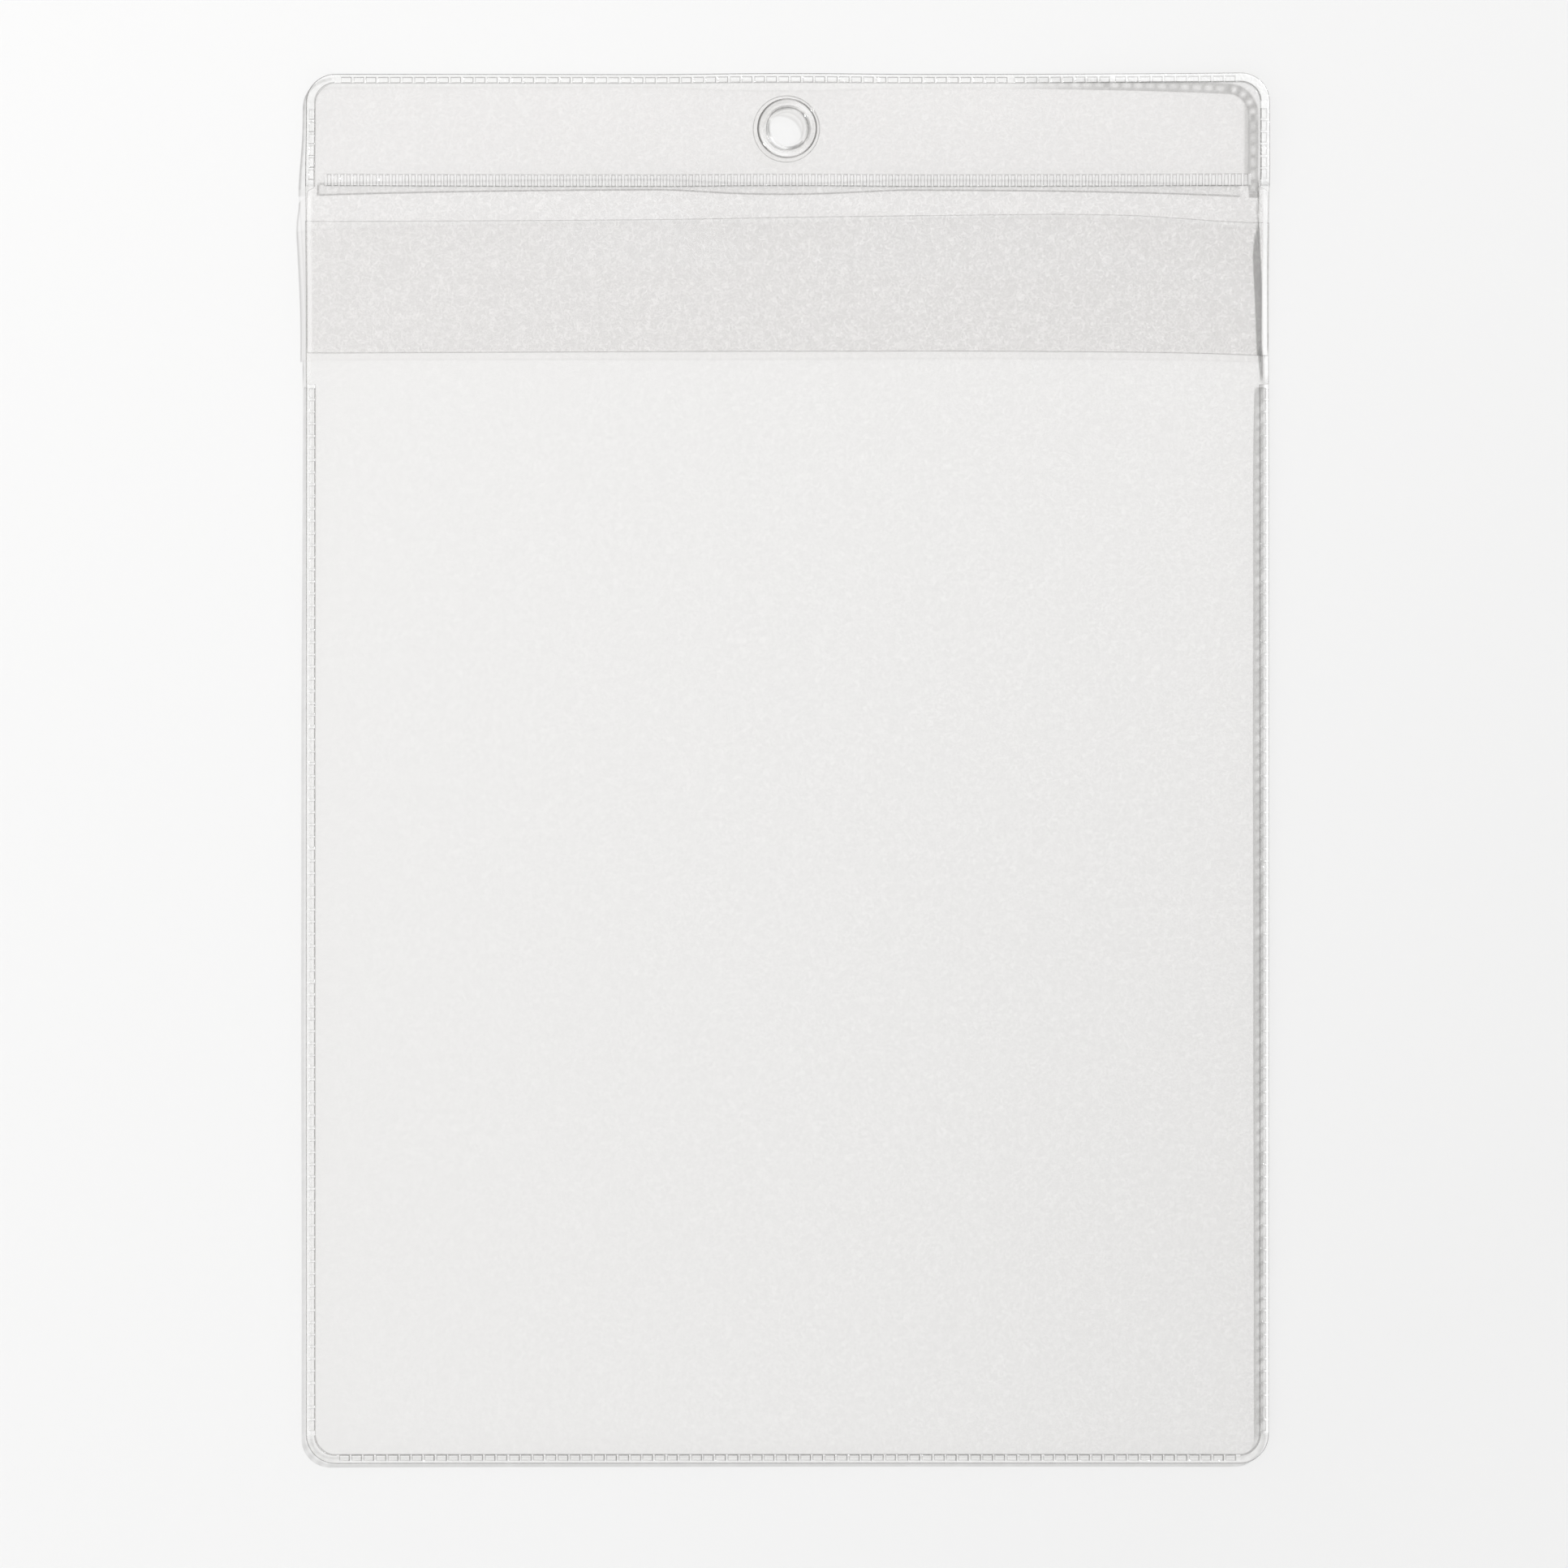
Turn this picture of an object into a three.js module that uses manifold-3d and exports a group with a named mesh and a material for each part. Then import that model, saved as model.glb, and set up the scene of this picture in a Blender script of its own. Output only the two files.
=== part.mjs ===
// A hanging display pocket of clear vinyl film, in millimetres.
//
// Three films make the pocket: a back sheet of full height, a front panel that stops short of
// the top, and a header film whose lower part is a loose flap over the mouth. They are welded
// round the edge and across the header, and a two-part plastic eyelet holds the pocket up.
//
// X runs to the right, Z up, and the front faces -Y. The origin is the middle of the eyelet's
// hole, on the plane where the header film lies on the back sheet.

import * as THREE from 'three';
import { mergeVertices } from 'three/addons/utils/BufferGeometryUtils.js';
import Module from 'manifold-3d';

const wasm = await Module();
wasm.setup();

// Driving dimensions

// The sheets
const sheetWidth = 230;
const sheetHeight = 332;
const cornerRadius = 7;
const filmThickness = 0.3;
const pocketGap = 0.4; // room for the paper between the back sheet and the front panel
const headerHeight = 27; // top edge to the lower edge of the cross seam
const mouthHeight = 7.2; // lower edge of the cross seam to the front panel's free edge
const lipHeight = 40; // front panel's free edge down to where its sides are welded

// The welded bands: a plain outer rim, a track of pressed cells and a narrow inner line
const rimWidth = 0.7;
const trackWidth = 1.3;
const innerLineWidth = 0.2;
const weldRise = 0.15; // how far a band stands proud of the film beside it
const cellPitch = 2.9;
const cellBar = 0.4; // solid bar between two cells
const cellDepth = 0.25;

// The cross seam
const seamHeight = 3;
const seamMargin = 0.3; // plain strip above and below the seam's cells
const seamEnd = 2.5; // plain stretch at each end of the seam
const seamPitch = 1.54;
const seamBar = 0.49;

// The flap
const flapLength = 39.2; // hinge line to the flap's free edge
const flapSideInset = 0.4; // each side, from the edge of the back sheet
const flapClearance = 0.3; // to the cross seam above it and to the front panel behind it
const flapBendStart = 1.2; // below the hinge line, where the flap starts to step forwards
const flapBendMargin = 1.3; // the step ends this far above the front panel's free edge

// The eyelet
const eyeletDrop = 13.2; // top edge to the middle of the hole
const boreRadius = 4;
const barrelWall = 0.7;
const barrelClearance = 0.3; // round the barrel, to the films and the washer
const flangeRadius = 7.15;
const flangeThickness = 0.6;
const flangeEdgeRadius = 0.25;
const mouthBeadRadius = 0.775; // round bead at the front of the hole
const rolledLipRadius = 0.8; // barrel end rolled over the washer
const washerRadius = 8;
const washerThickness = 1;
const washerEdgeThickness = 0.7;
const washerEdgeBevel = 0.3;
const washerSeatWidth = 1.2; // flat ring round the washer's hole, under the rolled lip

// Facets
const cornerSteps = 8; // per quarter turn of a film's corner
const roundSteps = 48; // per full turn of the eyelet
const profileSteps = 10; // per half turn of a rounded profile

// Places worked out from the sizes

const halfWidth = sheetWidth / 2;
const topEdge = eyeletDrop;
const bottomEdge = topEdge - sheetHeight;
const seamBottom = topEdge - headerHeight;
const seamTop = seamBottom + seamHeight;
const panelTop = seamBottom - mouthHeight;
const sideWeldTop = panelTop - lipHeight;
const weldWidth = rimWidth + trackWidth + innerLineWidth;
const innerHalfWidth = halfWidth - weldWidth;
const innerCornerRadius = cornerRadius - weldWidth;
const cornerEase = 0.3; // a film's corner turns wider than the band round it
const panelFront = pocketGap + filmThickness; // depths in front of the back sheet
const headerBandFront = filmThickness + weldRise;
const pocketBandFront = panelFront + weldRise;
const barrelRadius = boreRadius + barrelWall;
const filmHoleRadius = barrelRadius + barrelClearance;
const hingeDepth = headerBandFront + filmThickness / 2;
const hingeLine = seamBottom - flapClearance;

// Materials

const clearFilm = new THREE.MeshStandardMaterial({
  color: 0xeeedea,
  roughness: 0.3,
  metalness: 0,
  transparent: true,
  opacity: 0.3,
});
const weldedFilm = new THREE.MeshStandardMaterial({
  color: 0xe4e4e1,
  roughness: 0.2,
  metalness: 0,
  transparent: true,
  opacity: 0.45,
});
const eyeletPlastic = new THREE.MeshStandardMaterial({
  color: 0xe9e9e7,
  roughness: 0.12,
  metalness: 0,
  transparent: true,
  opacity: 0.5,
});

// Shape helpers

// Points on an arc, both ends included, with angles in quarter turns.
function arc(centreX, centreY, radius, from, to, steps) {
  return Array.from({ length: steps + 1 }, (_, i) => {
    const angle = (from + ((to - from) * i) / steps) * (Math.PI / 2);
    return new THREE.Vector2(centreX + radius * Math.cos(angle), centreY + radius * Math.sin(angle));
  });
}

function corner(centreX, centreY, radius, quarter) {
  return arc(centreX, centreY, radius, quarter, quarter + 1, cornerSteps);
}

const point = (x, y) => new THREE.Vector2(x, y);

// A film or band cut to an outline in X and Z, its rear face on the back sheet's front face.
// Depth is counted forwards, so it runs towards -Y.
const forwards = new THREE.Matrix4().makeBasis(
  new THREE.Vector3(1, 0, 0),
  new THREE.Vector3(0, 0, 1),
  new THREE.Vector3(0, -1, 0),
);

function plate(outline, thickness, holes = []) {
  const shape = new THREE.Shape(outline);
  shape.holes = holes.map((hole) => new THREE.Path(hole));
  return new THREE.ExtrudeGeometry(shape, { depth: thickness, bevelEnabled: false }).applyMatrix4(forwards);
}

function filmHole() {
  return arc(0, 0, filmHoleRadius, 0, 4, roundSteps).slice(0, -1);
}

function toSolid(geometry) {
  const bare = geometry.clone();
  bare.deleteAttribute('normal');
  bare.deleteAttribute('uv');
  const merged = mergeVertices(bare);
  return new wasm.Manifold(
    new wasm.Mesh({
      numProp: 3,
      vertProperties: Float32Array.from(merged.attributes.position.array),
      triVerts: Uint32Array.from(merged.index.array),
    }),
  );
}

function fromSolid(solid) {
  const { vertProperties, triVerts } = solid.getMesh();
  const geometry = new THREE.BufferGeometry();
  geometry.setAttribute('position', new THREE.BufferAttribute(vertProperties, 3));
  geometry.setIndex(new THREE.BufferAttribute(triVerts, 1));
  const faceted = geometry.toNonIndexed();
  faceted.computeVertexNormals();
  return faceted;
}

// Pressed cells

// One cell is a block that reaches from the cell's floor to just past the band's front face.
function cellBlock(x, z, width, height, bandFront) {
  const reach = cellDepth + weldRise;
  const block = new THREE.BoxGeometry(width, reach, height);
  block.translate(x, -(bandFront - cellDepth) - reach / 2, z);
  return toSolid(block);
}

// Middles of as many cells as fit between two ends, centred on the stretch.
function cellMiddles(start, end, pitch, bar) {
  const count = Math.floor((end - start + bar) / pitch);
  const first = (start + end) / 2 - ((count - 1) * pitch) / 2;
  return Array.from({ length: count }, (_, i) => first + i * pitch);
}

function uprightCells(x, zLow, zHigh, bandFront) {
  return cellMiddles(zLow, zHigh, cellPitch, cellBar).map((z) =>
    cellBlock(x, z, trackWidth, cellPitch - cellBar, bandFront),
  );
}

function levelCells(z, bandFront) {
  const reach = halfWidth - cornerRadius;
  return cellMiddles(-reach, reach, cellPitch, cellBar).map((x) =>
    cellBlock(x, z, cellPitch - cellBar, trackWidth, bandFront),
  );
}

function pressed(band, cells) {
  return fromSolid(toSolid(band).subtract(wasm.Manifold.union(cells)));
}

const trackMiddle = rimWidth + trackWidth / 2; // in from the sheet's edge

// The films

function backSheet() {
  const x = halfWidth - cornerRadius;
  const high = topEdge - cornerRadius;
  const low = bottomEdge + cornerRadius;
  const outline = [
    ...corner(x, high, cornerRadius, 0),
    ...corner(-x, high, cornerRadius, 1),
    ...corner(-x, low, cornerRadius, 2),
    ...corner(x, low, cornerRadius, 3),
  ];
  return plate(outline, filmThickness, [filmHole()]).translate(0, filmThickness, 0);
}

function headerStrip() {
  const radius = innerCornerRadius + cornerEase;
  const x = innerHalfWidth - radius;
  const z = topEdge - weldWidth - radius;
  const outline = [
    point(-innerHalfWidth, seamTop),
    point(innerHalfWidth, seamTop),
    ...corner(x, z, radius, 0),
    ...corner(-x, z, radius, 1),
  ];
  return plate(outline, filmThickness, [filmHole()]);
}

// Full width down to the side welds, then narrower, with its edges against the welded band.
function frontPanel() {
  const radius = innerCornerRadius + cornerEase;
  const x = innerHalfWidth - radius;
  const z = bottomEdge + weldWidth + radius;
  const outline = [
    point(halfWidth, panelTop),
    point(-halfWidth, panelTop),
    point(-halfWidth, sideWeldTop),
    point(-innerHalfWidth, sideWeldTop),
    ...corner(-x, z, radius, 2),
    ...corner(x, z, radius, 3),
    point(innerHalfWidth, sideWeldTop),
    point(halfWidth, sideWeldTop),
  ];
  return plate(outline, filmThickness).translate(0, -pocketGap, 0);
}

// The flap leaves the seam just in front of it and steps forwards over the front panel's lip. Its
// stepped root and the flat part that hangs from it are one film on the real pocket.
const flapReach = sheetWidth / 2 - flapSideInset;
const bendEnd = hingeLine - (panelTop + flapBendMargin); // how far the root reaches below the hinge line
const hangingRear = panelFront + flapClearance;

function flapRoot() {
  const step = hangingRear + filmThickness / 2 - hingeDepth;
  const middle = Array.from({ length: profileSteps + 1 }, (_, i) => {
    const share = i / profileSteps;
    const ease = (1 - Math.cos(Math.PI * share)) / 2;
    const drop = flapBendStart + share * (bendEnd - flapBendStart);
    return point(-(hingeDepth + ease * step), hingeLine - drop);
  });
  middle.unshift(point(-hingeDepth, hingeLine));
  const front = middle.map(({ x, y }) => point(x - filmThickness / 2, y));
  const rear = middle.map(({ x, y }) => point(x + filmThickness / 2, y)).reverse();
  const sideways = new THREE.Matrix4().makeBasis(
    new THREE.Vector3(0, 1, 0),
    new THREE.Vector3(0, 0, 1),
    new THREE.Vector3(1, 0, 0),
  );
  const depth = 2 * flapReach;
  return new THREE.ExtrudeGeometry(new THREE.Shape([...front, ...rear]), { depth, bevelEnabled: false })
    .applyMatrix4(sideways)
    .translate(-flapReach, 0, 0);
}

function flap() {
  const rootEnd = hingeLine - bendEnd;
  const freeEdge = hingeLine - flapLength;
  const outline = [
    point(-flapReach, freeEdge),
    point(flapReach, freeEdge),
    point(flapReach, rootEnd),
    point(-flapReach, rootEnd),
  ];
  return plate(outline, filmThickness).translate(0, -hangingRear, 0);
}

// The welded bands

// Runs up one side, along the top and down the other, ending in round ends beside the seam.
function headerWeld() {
  const x = halfWidth - cornerRadius;
  const z = topEdge - cornerRadius;
  const endRadius = weldWidth / 2;
  const endX = halfWidth - endRadius;
  const endZ = seamBottom + endRadius;
  const outline = [
    ...arc(endX, endZ, endRadius, 2, 4, profileSteps),
    ...corner(x, z, cornerRadius, 0),
    ...corner(-x, z, cornerRadius, 1),
    ...arc(-endX, endZ, endRadius, 2, 4, profileSteps),
    ...corner(-x, z, innerCornerRadius, 1).reverse(),
    ...corner(x, z, innerCornerRadius, 0).reverse(),
  ];
  const cells = [
    ...levelCells(topEdge - trackMiddle, headerBandFront),
    ...uprightCells(-halfWidth + trackMiddle, endZ, z, headerBandFront),
    ...uprightCells(halfWidth - trackMiddle, endZ, z, headerBandFront),
  ];
  return pressed(plate(outline, headerBandFront), cells);
}

function headerSeam() {
  const outline = [
    point(-innerHalfWidth, seamBottom),
    point(innerHalfWidth, seamBottom),
    point(innerHalfWidth, seamTop),
    point(-innerHalfWidth, seamTop),
  ];
  const reach = innerHalfWidth - seamEnd;
  const cells = cellMiddles(-reach, reach, seamPitch, seamBar).map((x) =>
    cellBlock(x, seamBottom + seamHeight / 2, seamPitch - seamBar, seamHeight - 2 * seamMargin, headerBandFront),
  );
  return pressed(plate(outline, headerBandFront), cells);
}

// Down one side from below the mouth, along the bottom and up the other.
function pocketWeld() {
  const x = halfWidth - cornerRadius;
  const z = bottomEdge + cornerRadius;
  const outline = [
    point(-halfWidth, sideWeldTop),
    ...corner(-x, z, cornerRadius, 2),
    ...corner(x, z, cornerRadius, 3),
    point(halfWidth, sideWeldTop),
    point(innerHalfWidth, sideWeldTop),
    ...corner(x, z, innerCornerRadius, 3).reverse(),
    ...corner(-x, z, innerCornerRadius, 2).reverse(),
    point(-innerHalfWidth, sideWeldTop),
  ];
  const sideTop = sideWeldTop - cellBar;
  const cells = [
    ...levelCells(bottomEdge + trackMiddle, pocketBandFront),
    ...uprightCells(-halfWidth + trackMiddle, z, sideTop, pocketBandFront),
    ...uprightCells(halfWidth - trackMiddle, z, sideTop, pocketBandFront),
  ];
  return pressed(plate(outline, pocketBandFront), cells);
}

// The eyelet, turned round the Y axis from profiles of radius and Y

const washerRear = filmThickness + washerThickness;

// Flange, round bead and barrel in one, with the barrel's end rolled over the washer.
function eyelet() {
  const flangeFront = -filmThickness - flangeThickness;
  const edge = arc(
    flangeRadius - flangeEdgeRadius,
    flangeFront + flangeEdgeRadius,
    flangeEdgeRadius,
    0,
    -1,
    profileSteps / 2,
  );
  const bead = arc(boreRadius + mouthBeadRadius, flangeFront, mouthBeadRadius, 0, -2, profileSteps);
  const lip = arc(boreRadius + rolledLipRadius, washerRear, rolledLipRadius, 2, 0, profileSteps);
  const profile = [
    point(barrelRadius, -filmThickness),
    point(flangeRadius, -filmThickness),
    ...edge,
    ...bead,
    ...lip,
    point(barrelRadius, washerRear),
    point(barrelRadius, -filmThickness),
  ];
  return new THREE.LatheGeometry(profile.reverse(), roundSteps);
}

function eyeletWasher() {
  const edgeRear = filmThickness + washerEdgeThickness;
  const profile = [
    point(filmHoleRadius, filmThickness),
    point(washerRadius, filmThickness),
    point(washerRadius, edgeRear - washerEdgeBevel),
    point(washerRadius - washerEdgeBevel, edgeRear),
    point(filmHoleRadius + washerSeatWidth, washerRear),
    point(filmHoleRadius, washerRear),
    point(filmHoleRadius, filmThickness),
  ];
  return new THREE.LatheGeometry(profile, roundSteps);
}

// Assembly

function piece(name, geometry, material) {
  const mesh = new THREE.Mesh(geometry, material);
  mesh.name = name;
  return mesh;
}

const films = new THREE.Group();
films.add(
  piece('back_sheet', backSheet(), clearFilm),
  piece('header_strip', headerStrip(), clearFilm),
  piece('front_panel', frontPanel(), clearFilm),
  piece('flap_root', flapRoot(), clearFilm),
  piece('flap', flap(), clearFilm),
);

const welds = new THREE.Group();
welds.add(
  piece('header_weld', headerWeld(), weldedFilm),
  piece('header_seam', headerSeam(), weldedFilm),
  piece('pocket_weld', pocketWeld(), weldedFilm),
);

const hanger = new THREE.Group();
hanger.add(
  piece('eyelet', eyelet(), eyeletPlastic),
  piece('eyelet_washer', eyeletWasher(), eyeletPlastic),
);

const displayPocket = new THREE.Group();
displayPocket.add(films, welds, hanger);

export default displayPocket;
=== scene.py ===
# %% [markdown]
# # A hanging display pocket of clear vinyl
# The pocket is three clear films welded round the edge and hung by a clear plastic eyelet. It is
# nearly invisible: what the eye reads are its edges, the pressed cells of its weld, the faint grain
# of the film and the thin shadows that all of these throw on the wall just behind.
# So this lesson is about clear things: how to build them thin, and how to let light through them.

import bpy
import numpy as np
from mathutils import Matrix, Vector


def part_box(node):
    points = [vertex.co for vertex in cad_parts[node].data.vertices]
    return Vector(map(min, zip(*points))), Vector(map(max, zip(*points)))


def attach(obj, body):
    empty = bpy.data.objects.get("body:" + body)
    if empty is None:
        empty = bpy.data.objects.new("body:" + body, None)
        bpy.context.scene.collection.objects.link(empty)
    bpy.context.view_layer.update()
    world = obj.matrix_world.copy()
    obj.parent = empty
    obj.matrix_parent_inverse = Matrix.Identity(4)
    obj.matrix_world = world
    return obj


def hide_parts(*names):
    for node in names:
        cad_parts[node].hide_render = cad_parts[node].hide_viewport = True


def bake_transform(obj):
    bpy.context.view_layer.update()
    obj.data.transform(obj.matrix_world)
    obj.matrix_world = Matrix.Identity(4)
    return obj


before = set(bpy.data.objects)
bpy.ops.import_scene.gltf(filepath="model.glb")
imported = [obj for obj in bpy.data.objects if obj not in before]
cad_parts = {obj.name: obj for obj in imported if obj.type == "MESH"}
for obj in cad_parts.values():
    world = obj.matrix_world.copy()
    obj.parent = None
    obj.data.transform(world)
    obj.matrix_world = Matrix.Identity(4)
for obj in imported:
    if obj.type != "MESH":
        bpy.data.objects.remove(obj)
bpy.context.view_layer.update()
scene = bpy.context.scene
MM = 0.001
print("nodes:", sorted(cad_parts))

# %% [markdown]
# ## Places, read from the frame
# The CAD parts hold the real sizes. Every place below is measured on them, in millimetres, so the
# films and welds land where the solids are. X runs to the right, Z up and the front faces -Y.
# "Depth" counts forwards from the front of the back sheet, so it is minus Y.


# %% Places
def corners_mm(node):
    """Lowest and highest corner of a CAD node, in millimetres."""
    low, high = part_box(node)
    return np.array(low) / MM, np.array(high) / MM


sheet_low, sheet_high = corners_mm("back_sheet")
strip_high = corners_mm("header_strip")[1]
seam_low, seam_high = corners_mm("header_seam")
panel_high = corners_mm("front_panel")[1]
flap_low, flap_high = corners_mm("flap")
weld_low, weld_high = corners_mm("pocket_weld")

half_width = sheet_high[0]
top_edge = sheet_high[2]
bottom_edge = sheet_low[2]
film_thickness = sheet_high[1] - sheet_low[1]
inner_half_width = strip_high[0]
weld_width = half_width - inner_half_width
seam_top = seam_high[2]
seam_bottom = seam_low[2]
panel_top = panel_high[2]
panel_depth = -panel_high[1]
side_weld_top = weld_high[2]
flap_edge = flap_low[2]
flap_half_width = flap_high[0]
flap_depth = -flap_low[1] - film_thickness
header_band_depth = -seam_low[1]
pocket_band_depth = -weld_low[1]
corner_radius = 7.0
film_gap = 0.02  # air between two films that lie on each other
print(f"sheet {2 * half_width:.1f} x {top_edge - bottom_edge:.1f} mm, welds {weld_width:.1f} mm wide")

# %% [markdown]
# ## Camera
# The photograph looks straight at the pocket. The outline's edges in the photograph give the scale
# and the point that the camera faces. A long lens keeps the sides of the films edge-on.

# %% Camera
picture_size = 1932
outline_left, outline_right = 376.6, 1563.8  # pixels of the photograph
outline_top, outline_bottom = 91.5, 1803.0
lens, sensor = 100.0, 36.0

mm_per_pixel = 2 * half_width / (outline_right - outline_left)
middle_x = (outline_left + outline_right) / 2
middle_z = (outline_top + outline_bottom) / 2
look_x = -(middle_x - picture_size / 2) * mm_per_pixel
look_z = (top_edge + bottom_edge) / 2 + (middle_z - picture_size / 2) * mm_per_pixel
camera_distance = picture_size * mm_per_pixel * lens / sensor

camera_data = bpy.data.cameras.new("camera")
camera_data.lens = lens
camera_data.sensor_width = sensor
camera_data.clip_start = 0.01
camera_data.clip_end = 20
camera = bpy.data.objects.new("camera", camera_data)
camera.location = Vector((look_x, -camera_distance, look_z)) * MM
camera.rotation_euler = (np.pi / 2, 0, 0)
scene.collection.objects.link(camera)
scene.camera = camera
scene.view_settings.view_transform = "Standard"
print(f"camera {camera_distance:.0f} mm away, {mm_per_pixel:.4f} mm a pixel")

# %% [markdown]
# ## Nodes and colours
# One helper adds any node: its settings, its plain values and its links. Colours are written as
# sRGB hex, as a paint chart gives them, and one function turns them to the linear values that the
# shaders work in.


# %% Node and colour helpers
def linear(hex_colour):
    """Linear RGBA of an sRGB hex colour: each channel c is ((c + 0.055) / 1.055) to the power 2.4."""
    channels = np.array([int(hex_colour[i : i + 2], 16) for i in (1, 3, 5)]) / 255
    curved = ((channels + 0.055) / 1.055) ** 2.4
    return (*np.where(channels <= 0.04045, channels / 12.92, curved), 1.0)


def add(tree, kind, inputs=None, **settings):
    """Adds a node. Each input is a plain value or the output socket of another node."""
    node = tree.nodes.new(kind)
    for name, value in settings.items():
        setattr(node, name, value)
    for socket, value in (inputs or {}).items():
        if isinstance(value, bpy.types.NodeSocket):
            tree.links.new(value, node.inputs[socket])
        else:
            node.inputs[socket].default_value = value
    return node


def new_material(name):
    """An empty node material and its output node."""
    material = bpy.data.materials.new(name)
    material.use_nodes = True
    material.node_tree.nodes.clear()
    return material, add(material.node_tree, "ShaderNodeOutputMaterial")


# %% [markdown]
# ## The wall, the floor and the light
# The wall is 2.2 mm behind the back sheet, just behind the eyelet's rolled lip. It is a pale paint
# that gets darker to the lower right, and that darkening is painted shade. The key light is a small
# sun at the upper right, which draws the thin shadows to the lower left, and the sky fills them in.
# Both stage planes are one-sided: from behind, their faces let the view through, so that the back
# can be looked at too.

# %% Wall and floor
wall_depth = 2.2
wall_reach = 1200.0
floor_reach = 420.0
floor_drop = 600.0  # below the pocket's lower edge, so that its bounce stays even
wall_paint = "#fdfdfd"
# the colour that the paint turns to at the lower right: a painted shade
painted_shade_colour = "#efefef"
paint_reach = 190.0  # half of the picture's width, across which the paint changes
paint_right, paint_down = 0.5, 0.65  # how far it has changed at the right, and at the bottom


def stage_plane(name, corners, material):
    """One quad that isn't part of the object. Seen from its front, its corners run anticlockwise."""
    mesh = bpy.data.meshes.new(name)
    mesh.from_pydata([tuple(c * MM for c in corner) for corner in corners], [], [(0, 1, 2, 3)])
    mesh.materials.append(material)
    plane = bpy.data.objects.new(name, mesh)
    scene.collection.objects.link(plane)
    return plane


def stage_paint():
    """Matt wall paint, darker to the lower right by a painted shade, and see-through from behind."""
    material, output = new_material("matt_wall_paint_with_painted_shade")
    tree = material.node_tree
    place = add(tree, "ShaderNodeTexCoord").outputs["Object"]
    axes = add(tree, "ShaderNodeSeparateXYZ", {0: place})
    left, right = ((look_x + way * paint_reach) * MM for way in (-1, 1))
    top, bottom = ((look_z + way * paint_reach) * MM for way in (1, -1))
    x_range = {0: axes.outputs["X"], 1: left, 2: right, 3: 0.0, 4: paint_right}
    z_range = {0: axes.outputs["Z"], 1: top, 2: bottom, 3: 0.0, 4: paint_down}
    across = add(tree, "ShaderNodeMapRange", x_range)
    down = add(tree, "ShaderNodeMapRange", z_range)
    share = add(tree, "ShaderNodeMath", {0: across.outputs[0], 1: down.outputs[0]}, operation="ADD")
    paint = add(
        tree,
        "ShaderNodeMix",
        {"Factor": share.outputs[0], "A": linear(wall_paint), "B": linear(painted_shade_colour)},
        data_type="RGBA",
    )
    matt = add(tree, "ShaderNodeBsdfDiffuse", {"Color": paint.outputs["Result"], "Roughness": 0.0})
    behind = add(tree, "ShaderNodeNewGeometry").outputs["Backfacing"]
    clear = add(tree, "ShaderNodeBsdfTransparent")
    surface = add(tree, "ShaderNodeMixShader", {0: behind, 1: matt.outputs[0], 2: clear.outputs[0]})
    tree.links.new(surface.outputs[0], output.inputs["Surface"])
    return material


paint = stage_paint()
left, right = -wall_reach, wall_reach
low = bottom_edge - floor_drop
high = wall_reach
fore, aft = -floor_reach, floor_reach
back_corners = [(left, wall_depth, low), (right, wall_depth, low)]
wall = stage_plane("wall", back_corners + [(right, wall_depth, high), (left, wall_depth, high)], paint)
front_corners = [(left, fore, low), (right, fore, low)]
floor = stage_plane("floor", front_corners + [(right, aft, low), (left, aft, low)], paint)
print(f"the wall stands {wall_depth} mm behind the back sheet's front")

# %% Light
key_strength = 2.92
key_size = 3.5  # degrees across, which sets how soft the shadows are
fill_strength = 0.322
shine_strength = 1.4  # the lamps' soft boxes, which gloss mirrors
backdrop = "#f6f5f5"

sun_data = bpy.data.lights.new("key", "SUN")
sun_data.energy = key_strength
sun_data.angle = np.radians(key_size)
sun = bpy.data.objects.new("key", sun_data)
light_way = Vector((-0.7, 1.0, -0.7))  # from the upper right, in front
sun.rotation_mode = "QUATERNION"
sun.rotation_quaternion = light_way.to_track_quat("-Z", "Y")
scene.collection.objects.link(sun)

world = bpy.data.worlds.new("studio")
world.use_nodes = True
world.node_tree.nodes.clear()
tree = world.node_tree
path = add(tree, "ShaderNodeLightPath")
seen = add(
    tree,
    "ShaderNodeMath",
    {0: path.outputs["Is Camera Ray"], 1: path.outputs["Is Transmission Ray"]},
    operation="MAXIMUM",
)
fill = add(tree, "ShaderNodeBackground", {"Color": linear("#fbfbfa"), "Strength": fill_strength})
shine = add(tree, "ShaderNodeBackground", {"Color": linear("#fbfbfa"), "Strength": shine_strength})
shown = add(tree, "ShaderNodeBackground", {"Color": linear(backdrop), "Strength": 1.0})
mirrored = path.outputs["Is Glossy Ray"]
lit = add(tree, "ShaderNodeMixShader", {0: mirrored, 1: fill.outputs[0], 2: shine.outputs[0]})
sky = add(tree, "ShaderNodeMixShader", {0: seen.outputs[0], 1: lit.outputs[0], 2: shown.outputs[0]})
add(tree, "ShaderNodeOutputWorld", {"Surface": sky.outputs[0]})
scene.world = world
scene.cycles.transparent_max_bounces = 40
print(f"key {key_strength}, sky {fill_strength}")
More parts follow.
